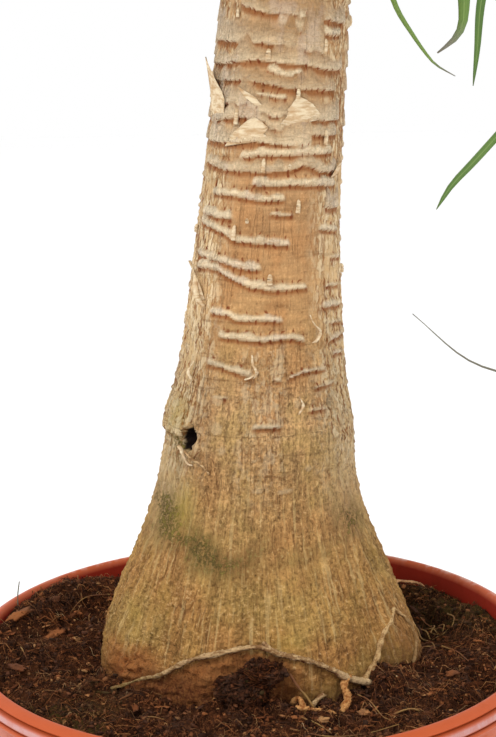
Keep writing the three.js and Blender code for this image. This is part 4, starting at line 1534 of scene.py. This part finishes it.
near_end, far_end = on_soil(24, -83, 2.2), on_soil(47, -86, 1.6)
between = [near_end.lerp(far_end, share) for share in (0.35, 0.7)]
lying = [on_soil(24, -83, 1.4), *between, on_soil(47, -86, 1.4)]
lying_twig = tube_along(
    smooth_path(lying, 24),
    lambda share: 1.7 + 0.4 * math.sin(11 * share) - 0.9 * ease(0.85, 1, share),
    50,
    12,
    flat=0.7,
    wrinkle=0.5,
)
gnarled_twig = tube_along(
    soil_path([(55, -65, 9), (52, -71, 7), (54, -78, 3.5), (50, -86, 1.5)], 24),
    lambda share: 2.2 + 1.1 * noisy(4.2 * share, 3.0, 0.0) - 0.8 * ease(0.86, 1, share),
    60,
    14,
    flat=0.7,
    wrinkle=1.0,
)
short_path = soil_path([(22, -76, 2.0), (26, -80, 3.2), (30, -85, 1.6)], 12)
short_twig = tube_along(short_path, lambda share: 1.5 + 0.4 * math.sin(12 * share), 24, 10, wrinkle=0.5)
hang(piece("broken_twigs", joined([lying_twig, gnarled_twig, short_twig]), broken_finish))

start = finish("thin_roots")
colour = start.grain(12.0, detail=2.0).between(0.4, 0.6).tint((116, 68, 34), (150, 114, 60))
rootlet_finish = finished(start, colour, 0.8, start.grain(0.8, detail=3.0), depth=0.2)

# (places on the soil, radius)
THIN_ROOTS = [
    ([(19, -85), (27, -94), (35, -103), (43, -111)], 0.6),
    ([(76, -91), (88, -90), (99, -87), (107, -84)], 0.6),
    ([(118, 8), (126, -6), (132, -18), (136, -26)], 0.45),
    ([(104, 18), (112, 14), (113, 4), (108, -4), (100, -6)], 0.45),
    ([(100, 52), (106, 44), (108, 34), (112, 22)], 0.8),
    ([(128, 60), (131, 50), (128, 40), (136, 30)], 0.5),
    ([(110, 56), (114, 51), (119, 48), (122, 50)], 0.4),
    ([(112, 50), (117, 45), (121, 40), (126, 42)], 0.45),
    ([(109, 46), (112, 40), (114, 32), (118, 27)], 0.5),
    ([(121, 52), (124, 46), (122, 40), (126, 36)], 0.4),
    ([(116, 54), (118, 47), (115, 41), (119, 36)], 0.4), ([(-143, 1), (-141, -4), (-138, -8)], 0.45),
    ([(-62, -88), (-56, -92), (-50, -91)], 0.4), ([(20, -112), (40, -120), (62, -112), (80, -110)], 0.45),
    ([(60, -70), (66, -80), (72, -96), (76, -104)], 0.4), ([(-20, 130), (10, 140), (40, 134)], 0.5),
    ([(-90, 90), (-110, 70), (-120, 50)], 0.5),
]


def rootlet(course, radius):
    """A thin root that dips in and out of the soil's crumbs."""
    path = soil_path([(x, y, 1.2 + 1.6 * (i % 2)) for i, (x, y) in enumerate(course)], 40)
    return tube_along(path, lambda share: radius * mix(1.1, 0.5, share), 50, 5, wrinkle=0.15)


rootlets = [rootlet(*thin_root) for thin_root in THIN_ROOTS]
hanging_path = stem_path([(-79, 22, 2.6), (-77, 16, 5), (-74, 9, 7), (-72, 3, 9)], 30)
rootlets.append(tube_along(hanging_path, lambda share: mix(0.9, 0.6, share), 30, 6, wrinkle=0.15))
hang(piece("thin_roots", joined(rootlets), rootlet_finish))

start = finish("dead_leaf")
colour = start.grain(6.0, detail=5.0).between(0.35, 0.65).tint((150, 100, 58), (206, 156, 104))
litter_finish = finished(start, colour, 0.75, start.grain(0.9, detail=3.0), depth=0.3)
curled = tube_along(
    soil_path([(93, 100, 0.5), (99, 108, 2.6), (106, 111, 3.6), (113, 107, 3.4), (118, 101, 1.0)], 40),
    lambda share: 2.2 * math.sin(math.pi * mix(0.12, 0.94, share)) + 0.2,
    60,
    10,
    flat=0.3,
    wrinkle=0.4,
)
hang(piece("dead_leaf_scraps", joined([curled]), litter_finish))

start = finish("sprout")
sprout_finish = finished(start, start.grain(5.0, detail=2.0).tint((96, 110, 100), (120, 96, 66)), 0.7)
stalk = smooth_path([(-150.5, 54, 294), (-151.5, 54, 301), (-151.5, 54, 308), (-150, 54, 318)], 24)
hang(piece("sprout", tube_along(stalk, lambda share: mix(0.5, 0.34, share), 24, 6), sprout_finish))


# ----------------------------------------------------------------------------------------------------------
# The leaves: leathery green straps with a shallow channel, fine parallel veins and dry tips. They come out
# of one head in a golden-angle spiral, the oldest lowest, arch over and hang. Five long ones reach down at
# the right.

LEAVES = 104
COMPANIONS = 150
LEAF_WIDTH = 17.0
LEAF_STEPS = 40
LEAF_THICKNESS = 0.7
LOW_LEAF_STEPS = 120
CROWN_HEIGHT = 118.0
HEART_OUTLINE = [(0, 26), (22, 31), (60, 26), (CROWN_HEIGHT, 9)]

# (width, how blunt the tip is, twist in radians, how pale, how far the dry tip reaches, places of the
# midrib)
LOW_LEAVES = [
    (7.0, 5, 0.0, 1.5, -0.012, [
        (74, 62, 1196), (100, 96, 1080), (88, 104, 860), (84, 94, 740), (94, 90, 681), (106, 90, 660),
        (117, 90, 645), (121, 90, 641), (133, 90, 634),
    ]),
    (19, 7, 0.0, 0.35, -0.008, [
        (120, 30, 1230), (186, 62, 1120), (176, 72, 920), (140, 64, 760), (134, 60, 687), (133, 60, 666),
        (129, 60, 658), (118, 60, 649),
    ]),
    (6.6, 20, 0.0, 0.05, -0.034, [
        (135, 4, 1215), (210, -8, 1085), (192, -2, 880), (150, 8, 740), (137, 10, 679), (135, 10, 651),
        (133, 10, 631),
    ]),
    (4.6, 60, 0.0, 0.15, -0.038, [
        (150, -20, 1205), (250, -44, 1060), (262, -40, 840), (214, -22, 690), (157, -10, 618), (132, -10, 590),
        (118, -10, 575), (110, -10, 562),
    ]),
    (9, 1.6, -0.4, 0.5, 0.16, [
        (140, 74, 1225), (262, 124, 1085), (306, 126, 820), (296, 110, 580), (240, 98, 450), (177, 90, 442),
        (145, 90, 451), (107, 90, 483),
    ]),
]


def crown_middle(h):
    return stem_middle(STEM_HEIGHT) + Vector((0.02 * h, 0, h + 0.35))


def leaf_rule():
    """Each leaf's own numbers, the lowest and oldest first."""
    row = random_row(20417)
    leaves = []
    for i in range(LEAVES):
        age = i / (LEAVES - 1)
        azimuth = i * GOLDEN_ANGLE + 0.25 * (next(row) - 0.5)
        rise = mix(6, 84, age**0.75) + 12 * (next(row) - 0.5)
        droop = mix(82, 62, age) + 12 * (next(row) - 0.5)
        long = mix(470, 610, abs(math.cos(azimuth))) * mix(0.92, 1.18, math.sin(math.pi * age**0.8))
        leaf = {
            "azimuth": azimuth,
            "height": mix(6, CROWN_HEIGHT - 14, age**0.9),
            "rise": rise,
            "droop": droop,
            "length": long * mix(0.9, 1.1, next(row)),
            "bend_from": mix(0.02, 0.12, age),
            "bend_to": mix(0.6, 0.95, age) + 0.1 * (next(row) - 0.5),
            "sway": 0.5 * (next(row) - 0.5),
            "twist": 1.6 * (next(row) - 0.5),
            "width": LEAF_WIDTH * mix(0.8, 1.12, next(row)),
        }
        leaves.append(leaf)
    return leaves


def companion_leaves(leaves):
    """More leaves between the others, a little shorter and turned, so the head is as full as a grown one."""
    row = random_row(777)
    more = []
    for _ in range(COMPANIONS):
        leaf = dict(leaves[int(next(row) * LEAVES)])
        leaf["azimuth"] += mix(-0.3, 0.3, next(row))
        leaf["height"] = min(CROWN_HEIGHT - 12, leaf["height"] + mix(-3, 6, next(row)))
        leaf["rise"] += mix(-6, 6, next(row))
        leaf["droop"] += mix(-10, 4, next(row))
        leaf["length"] *= mix(0.72, 0.98, next(row))
        leaf["sway"] += mix(-0.2, 0.2, next(row))
        leaf["twist"] = 2.4 * (next(row) - 0.5)
        leaf["width"] = LEAF_WIDTH * mix(0.62, 1.0, next(row))
        more.append(leaf)
    return more


def leaf_places(leaf):
    """(place, along, across) at each step of a leaf's midrib."""
    places = []
    azimuth = leaf["azimuth"]
    out = Vector((math.cos(azimuth), math.sin(azimuth), 0))
    spot = crown_middle(leaf["height"]) + out * 0.8 * curve_at(HEART_OUTLINE, leaf["height"])
    for i in range(LEAF_STEPS + 1):
        share = i / LEAF_STEPS
        bend = ease(leaf["bend_from"], leaf["bend_to"], share)
        slope = math.radians(leaf["rise"] - (leaf["rise"] + leaf["droop"]) * bend)
        azimuth = leaf["azimuth"] + leaf["sway"] * share * share
        level = Vector((math.cos(azimuth), math.sin(azimuth), 0))
        along = level * math.cos(slope) + Vector((0, 0, math.sin(slope)))
        across = Vector((-math.sin(azimuth), math.cos(azimuth), 0))
        across = Matrix.Rotation(leaf["twist"] * share * share, 3, along) @ across
        places.append((spot.copy(), along, across))
        spot = spot + along * leaf["length"] / LEAF_STEPS
    return places


def low_leaf_places(twist, points):
    """The same for a leaf that hangs low: it turns its flat side to the front as it comes down."""
    path = smooth_path([crown_middle(30), *points], LOW_LEAF_STEPS)
    flat = Vector((0, 0, 1)).cross(path[38] - path[34]).normalized()
    places = []
    for i, spot in enumerate(path):
        share = i / LOW_LEAF_STEPS
        along = (path[min(i + 1, LOW_LEAF_STEPS)] - path[max(i - 1, 0)]).normalized()
        facing = along.cross(Vector((0, 1, 0))).normalized()
        across = flat.lerp(facing if facing.dot(flat) > 0 else -facing, ease(0.25, 0.6, share))
        across = (across - along * across.dot(along)).normalized()
        places.append((spot, along, Matrix.Rotation(twist * share * share, 3, along) @ across))
    return places


def blade_half(width, blunt, share):
    """Half the blade's width at a share of its length: broad where it clasps the stem, then one long taper."""
    return width / 2 * (1 + 0.45 * swell(share, 0.05)) * max(0.035, (1 - share**blunt) ** 0.8)


def leaf_shape(blades, steps, cuts, seed):
    """Channelled blades along their midribs, from (places, width, blunt, tone, dryness) of each leaf."""
    flat = bmesh.new()
    flat.loops.layers.uv.new("along")
    bmesh.ops.create_grid(flat, x_segments=cuts, y_segments=steps, size=1.0, calc_uvs=True)
    shape, (share_layer, tone_layer), leaves = copies(flat, len(blades), ("share", "tone"))
    row = random_row(seed)
    for corners, (places, width, blunt, tone, dry) in zip(leaves, blades):
        ripple = 20 * next(row)
        for corner in corners:
            side, share = corner.co.x, (corner.co.y + 1) / 2
            spot, along, across = places[round(share * steps)]
            under = across.cross(along).normalized()
            half = blade_half(width, blunt, share)
            channel = half * (0.42 * (1 - side * side) * mix(1.0, 0.5, share) - 0.05)
            wave = 0.10 * half * math.sin(ripple + 26 * share + 2 * side) * abs(side)
            corner.co = spot + across * side * half + under * (channel + wave)
            corner[share_layer] = share + dry
            corner[tone_layer] = tone
    bmesh.ops.recalc_face_normals(shape, faces=shape.faces)
    return shape


start = finish("strap_leaf")
share, tone = start.named("share"), start.named("tone")
lay = start.node("UVMap", {"uv_map": "along"})
veins = lay.squeezed((34.0, 1.6, 1.0)).clouds(1.0, 3.0, 0.6)
blotch = start.grain(22.0, detail=3.0)
paler = 0.3 + tone * 0.7
colour = tone.tint((60, 94, 26), (104, 138, 60)).under(
    (blotch.between(0.4, 0.65) * paler * 0.5, (124, 152, 62)),
    (veins.between(0.4, 0.65) * paler * 0.55, (138, 166, 78)),
    (lay.part(0).along_line(0.09, 0.02) * 0.4, (158, 182, 104)),
    (share.between(0.1, 0.02), (190, 196, 132)),
    (share.between(0.955, 0.985), (128, 124, 108)),
)
leaf_finish = finished(start, colour, 0.42 + veins * 0.16, veins, depth=0.25, strength=0.6)

rule = leaf_rule()
row = random_row(5501)
fountain = [
    (leaf_places(leaf), leaf["width"], 1.6, next(row), 0.02 * (next(row) - 0.5))
    for leaf in rule + companion_leaves(rule)
]
hanging = [
    (low_leaf_places(twist, points), width, blunt, tone, dry)
    for width, blunt, twist, tone, dry, points in LOW_LEAVES
]
for name, blades, steps, cuts, seed in (
    ("leaf_fountain", fountain, LEAF_STEPS, 2, 5501),
    ("low_hanging_leaves", hanging, LOW_LEAF_STEPS, 6, 431),
):
    crown = piece(name, leaf_shape(blades, steps, cuts, seed), leaf_finish)
    thickness = crown.modifiers.new("blade_thickness", "SOLIDIFY")
    thickness.thickness = LEAF_THICKNESS * MM
    thickness.offset = 0.0
    hang(crown, "leaf_crown")

# The heart that the leaves grow from, wrapped in pale leaf bases.
heart_outline = [(curve_at(HEART_OUTLINE, h) - 1, h) for h in range(0, 113, 7)]
heart_shape = spun([(0.0, 0.0), *heart_outline, (0.0, CROWN_HEIGHT - 2)], 60)
for vertex in heart_shape.verts:
    x, y, h = vertex.co
    ridge = 1 + 0.06 * noisy(0.3 * x, 0.3 * y, 0.05 * h)
    vertex.co = crown_middle(h) + Vector((x * ridge, y * ridge, 0))
start = finish("leaf_bases")
colour = start.grain(4.0, stretch=(1, 1, 0.1)).between(0.35, 0.65).tint((150, 150, 92), (206, 200, 150))
heart_finish = finished(start, colour, 0.6, start.grain(2.0, stretch=(1, 1, 0.1)), depth=0.6)
hang(piece("leaf_heart", heart_shape, heart_finish), "leaf_crown")
